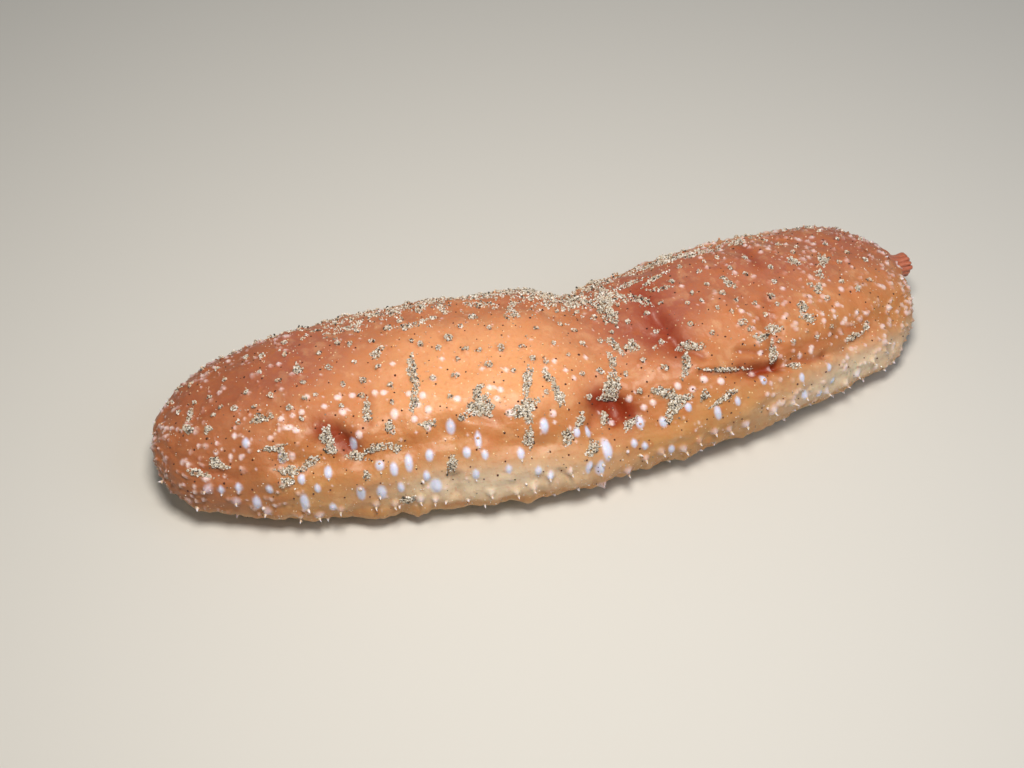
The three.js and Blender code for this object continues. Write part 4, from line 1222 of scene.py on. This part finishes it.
def sand_grains(name, seats, material):
    """Grains as small broken blocks, the full-sized ones about half a millimetre from corner to
    corner, each with a cell of its own in the unwrap."""
    draw = rng(name)
    count = len(seats)
    share = np.array([size for _, _, size in seats])
    size = np.clip(draw.lognormal(math.log(0.21), 0.28, count), 0.11, 0.36) * share
    corners = np.repeat(GRAIN_CORNERS[None], count, 0) * draw.uniform(0.45, 1.0, (count, 8, 3))
    corners *= draw.uniform(0.7, 1.25, (count, 1, 3)) * size[:, None, None]
    axes = np.linalg.qr(draw.normal(size=(count, 3, 3)))[0]
    axes[np.linalg.det(axes) < 0, :, 0] *= -1
    corners = np.einsum("nij,nkj->nki", axes, corners)
    places = np.array([place for place, _, _ in seats])
    normals = np.array([normal for _, normal, _ in seats])
    points = corners + (places + normals * size[:, None] * 0.3)[:, None]
    faces = (GRAIN_FACES[None] + np.arange(count)[:, None, None] * 8).reshape(-1, 4)
    piece = add_object(name, points.reshape(-1, 3), faces.tolist(), material,
                       smooth_faces=False)
    codes = np.array([colour(code) for code, _ in SAND_TONES])
    shares = np.array([part for _, part in SAND_TONES])
    tones = codes[draw.choice(len(codes), count, p=shares / shares.sum())]
    tones[:, :3] *= draw.uniform(0.8, 1.05, (count, 1))
    add_colours(piece, "tone", np.repeat(tones, 8, 0))
    cells = math.ceil(math.sqrt(count))
    cell = 1.0 / cells
    corner = np.array([[0.2, 0.2], [0.8, 0.2], [0.8, 0.8], [0.2, 0.8]]) * cell
    base = np.stack([np.arange(count) % cells, np.arange(count) // cells], -1) * cell
    add_unwrap(piece, (base[:, None, None] + corner[None, None]).repeat(6, 1))


def tube_feet(sight, material):
    """Tube feet under the sole in three bands, each a short stem with a sucker disc on the floor."""
    draw = rng("feet")
    wide, share = np.array([(0.66, 1.0), (0.5, 0.6), (0.52, 0.3), (0.85, 0.14), (0.95, 0.05),
                            (0.7, 0.0), (0.2, 0.04)]).T
    sides, levels = 9, len(wide)
    turn = np.linspace(0, 2 * math.pi, sides, endpoint=False)
    bands, rows, row_step, foot_step = (-0.64, 0.0, 0.64), (-1.5, -0.5, 0.5, 1.5), 2.6, 3.7
    first, last = -97, 112
    points, shades_and_tones = [], []
    for band in bands:
        for row in rows:
            for x in np.arange(first, last, foot_step):
                at = x + draw.uniform(-1.2, 1.2)
                sideways = row * row_step + draw.uniform(-0.8, 0.8)
                half = float(along_body(STATIONS, 2, at) * end_rounding(at)) - EDGE_ROUNDING
                base = in_section(np.array(at), np.array(band * half + sideways), np.array(0.0))
                size = draw.uniform(0.75, 1.15)
                hit = sight.tree.ray_cast(Vector(base), Vector((0, 0, 1)))[0]
                tall = (hit.z if hit else SOLE_HEIGHT) + 0.5
                ring = np.stack([np.cos(turn), np.sin(turn), np.zeros(sides)], -1) * size
                for out, up in zip(wide, share):
                    points.extend(base + ring * out + np.array([0, 0, up * tall]))
                    # Darker round the foot's disc, and painted shade in the hollow of the sucker.
                    shades_and_tones.extend([0.5 if 0.04 < up < 0.2 else 0.15] * sides)
                points.append(base + np.array([0, 0, 0.3]))
                shades_and_tones.append(1.0)
    each = levels * sides + 1
    count = len(points) // each
    step = np.arange(sides)
    walls = quads(levels, sides)[:, ::-1]
    top = (levels - 1) * sides
    cap = np.stack([np.full(sides, levels * sides), top + (step + 1) % sides, top + step], -1)
    offset = (np.arange(count) * each)[:, None, None]
    faces = (walls + offset).reshape(-1, 4).tolist() + (cap + offset).reshape(-1, 3).tolist()
    piece = add_object("tube_feet", points, faces, material)
    add_values(piece, "shade_and_tone", shades_and_tones)


def turned(profile, sides, shape=None):
    """Rings round +Z from a profile of radius and height, with radii shaped by angle."""
    turn = np.linspace(0, 2 * math.pi, sides, endpoint=False)
    rings = []
    for level, (radius, high) in enumerate(profile):
        scale = shape(level, turn) if shape else np.ones(sides)
        rings.append(np.stack([radius * scale * np.cos(turn), radius * scale * np.sin(turn),
                               np.full(sides, high)], -1))
    return np.array(rings)


def vent_tube(material):
    """Short tube of the vent: plump, uneven lobes that flare and turn into the opening."""
    lobes, lobe_sides = 11, 12
    sides = lobes * lobe_sides
    profile = np.array([
        (6.4, -2.6), (5.2, -0.9), (4.4, 0.5), (4.0, 1.8), (3.9, 3.0), (4.1, 4.1), (4.2, 5.0),
        (4.0, 5.8), (3.4, 6.3), (2.7, 6.2), (1.9, 5.5), (1.3, 4.2), (0.7, 3.2), (0.15, 3.0)])
    depth = np.array([0.0, 0.02, 0.04, 0.07, 0.1, 0.14, 0.2, 0.26, 0.32, 0.36, 0.34, 0.25, 0.2, 0])
    draw = rng("vent")
    turn = np.linspace(0, 2 * math.pi, sides, endpoint=False)
    swing = turn * lobes / 2 + 0.3 * np.sin(3 * turn) + 0.2 * np.sin(2 * turn + 1)
    plump = np.abs(np.cos(swing))**0.7
    which = np.floor(swing / math.pi + 0.5).astype(int) % lobes
    uneven = draw.uniform(-1, 1, lobes)[which] * plump
    stretch = draw.uniform(-1, 1, lobes)[which] * plump
    reach = smooth(profile[:, 1] / 5.0)[:, None]
    radius = profile[:, :1] * (1 - depth[:, None] * (1 - plump)[None]) * (1 + 0.09 * reach * uneven)
    along = profile[:, 1:] + reach * (0.35 * stretch - 0.35 * (1 - plump))[None]
    furthest = 6.5
    along = np.minimum(along, furthest)
    centre = vent_centre()
    points = np.stack([along + VENT_X, radius * np.cos(turn) + centre[1],
                       radius * np.sin(turn) + centre[2]], -1)
    count = len(profile)
    piece = add_object("vent_tube", points.reshape(-1, 3), quads(count, sides).tolist(),
                       material)
    # Painted shade: darker deep in the opening and in the creases between the lobes.
    inner = np.interp(np.arange(count), [0, 8, 11, 13], [0.1, 0.15, 0.85, 1.0])
    add_values(piece, "shade_and_tone", np.clip(inner[:, None] + (1 - plump)[None] * 0.4, 0, 1))
    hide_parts("vent")


def mouth_parts(material, tentacle_material):
    """Mouth disc with its puckered opening, and a ring of tentacles with branched shields."""
    draw = rng("mouth")
    centre = mouth_centre()
    profile = [(8.4, 0.5), (7.5, -0.1), (6.0, -0.2), (4.2, -0.5), (3.0, -1.2), (2.3, -1.3), (1.6, -0.6),
               (0.9, 0.6), (0.2, 1.2)]
    sides = 72
    pleats, pleat_depth, pleated = 18, 0.05, range(3, 8)

    def shape(level, turn):
        return 1 + (pleat_depth * np.sin(turn * pleats) if level in pleated else 0)

    top = MOUTH_CEILING - MOUTH_DROP
    points = turned(profile, sides, shape) + np.array([centre[0], centre[1], top])
    faces = quads(len(profile), sides)[:, ::-1].tolist()
    disc = add_object("mouth_disc", points.reshape(-1, 3), faces, material)
    # Painted shade: darker at the rim and darkest down in the opening.
    shade = np.interp(np.arange(len(profile)), [0, 3, 6, 8], [0.5, 0.1, 0.6, 1.0])
    add_values(disc, "shade_and_tone", np.repeat(shade, sides))
    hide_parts("mouth")
    ball_profile, ball_sides = [(0.05, -1), (0.7, -0.7), (1.0, 0), (0.7, 0.7), (0.05, 1)], 7
    ball = turned(ball_profile, ball_sides).reshape(-1, 3)
    ball_faces = quads(len(ball_profile), ball_sides)
    # A blob is its place, size, tone and how flat it is.
    blobs = []
    count, links, lobes = 20, 5, 9
    outer_ring, inner_ring = 6.0, 4.6
    for k in range(count):
        angle = k / count * 2 * math.pi + draw.uniform(-0.05, 0.05)
        out = np.array([math.cos(angle), math.sin(angle), 0.0])
        foot = np.array([centre[0], centre[1], top]) + out * (outer_ring if k % 2 else inner_ring)
        length = draw.uniform(3.6, 4.8)
        hang = out * draw.uniform(-0.1, 0.2) * length - np.array([0, 0, length])
        for share in np.linspace(0, 1, links):
            blobs.append((foot + hang * share, 0.72 - 0.12 * share, 0.35, 1.0))
        for turn in np.arange(lobes) / lobes * 2 * math.pi:
            off = np.array([math.cos(turn), math.sin(turn), 0.0]) * draw.uniform(0.85, 1.2)
            off[2] = draw.uniform(-0.2, 0.25)
            blobs.append((foot + hang + off, draw.uniform(0.3, 0.42), 0.05, 1.0))
        blobs.append((foot + hang, 0.75, 0.2, 0.5))
    points = [ball * size * np.array([1, 1, squash]) + place for place, size, _, squash in blobs]
    faces = [ball_faces + len(ball) * number for number in range(len(blobs))]
    tentacles = add_object("tentacles", np.concatenate(points), np.concatenate(faces).tolist(),
                           tentacle_material)
    add_values(tentacles, "shade_and_tone", np.repeat([tone for _, _, tone, _ in blobs], len(ball)))


def make_floor():
    """Plain pale floor, far wider than the photograph's view."""
    size = 3000.0
    corners = [(-size, -size, 0), (size, -size, 0), (size, size, 0), (-size, size, 0)]
    mesh = bpy.data.meshes.new("floor")
    mesh.from_pydata([[c * MM for c in corner] for corner in corners], [], [(0, 1, 2, 3)])
    floor = bpy.data.objects.new("floor", mesh)
    bpy.context.collection.objects.link(floor)
    material, tree = new_material("pale_studio_floor")
    surface = add_node(tree, "ShaderNodeBsdfPrincipled", {
        "Base Color": colour("#D6D5D0"), "Roughness": 0.85})
    add_node(tree, "ShaderNodeOutputMaterial", {"Surface": surface})
    mesh.materials.append(material)


def make_light(name, place_mm, power, size_mm, tint):
    data = bpy.data.lights.new(name, "AREA")
    data.shape = "DISK"
    data.energy = power
    data.size = size_mm * MM
    data.color = colour(tint)[:3]
    light = bpy.data.objects.new(name, data)
    light.location = Vector(place_mm) * MM
    light.rotation_mode = "QUATERNION"
    light.rotation_quaternion = (light.location - Vector(AIMED_AT) * MM).to_track_quat("Z", "Y")
    bpy.context.collection.objects.link(light)


def make_lights():
    """A soft light above the middle, a weaker one from the right and a pale sky."""
    make_light("key", (-40, -110, 480), 2.3, 160, "#FFF6EA")
    make_light("fill", (420, -300, 520), 0.8, 500, "#E8F0FF")
    world = bpy.data.worlds.new("studio")
    bpy.context.scene.world = world
    world.use_nodes = True
    background = world.node_tree.nodes["Background"]
    background.inputs["Color"].default_value = colour("#DDE3E8")
    background.inputs["Strength"].default_value = 0.2


def main():
    bpy.context.scene.view_settings.view_transform = "Standard"
    make_camera()
    skin, sight, spot_tips, wart_tips, edge_tips = build_skin()
    papilla = papilla_material()
    margin_papillae(skin, spot_tips + edge_tips, papilla)
    back_papillae(skin, wart_tips, papilla)
    dark_tips(skin, sight, papilla)
    sand = sand_material()
    seats = grain_seats(skin, sight, wart_tips)
    for part, start in enumerate(range(0, len(seats), GRAINS_PER_PIECE)):
        sand_grains(f"sand_{part + 1}", seats[start:start + GRAINS_PER_PIECE], sand)
    tube_feet(sight, flesh_material("soft_tube_foot_flesh", "#E2CDA6", "#A9794A", 1.5))
    vent_tube(flesh_material("folded_vent_flesh", "#C8785C", "#8A4028", 1.2))
    mouth_parts(flesh_material("mouth_disc_flesh", "#C88F64", "#6A3420", 1.5),
                flesh_material("tentacle_flesh", "#E3C595", "#A46C3E", 1.0))
    make_floor()
    make_lights()


main()
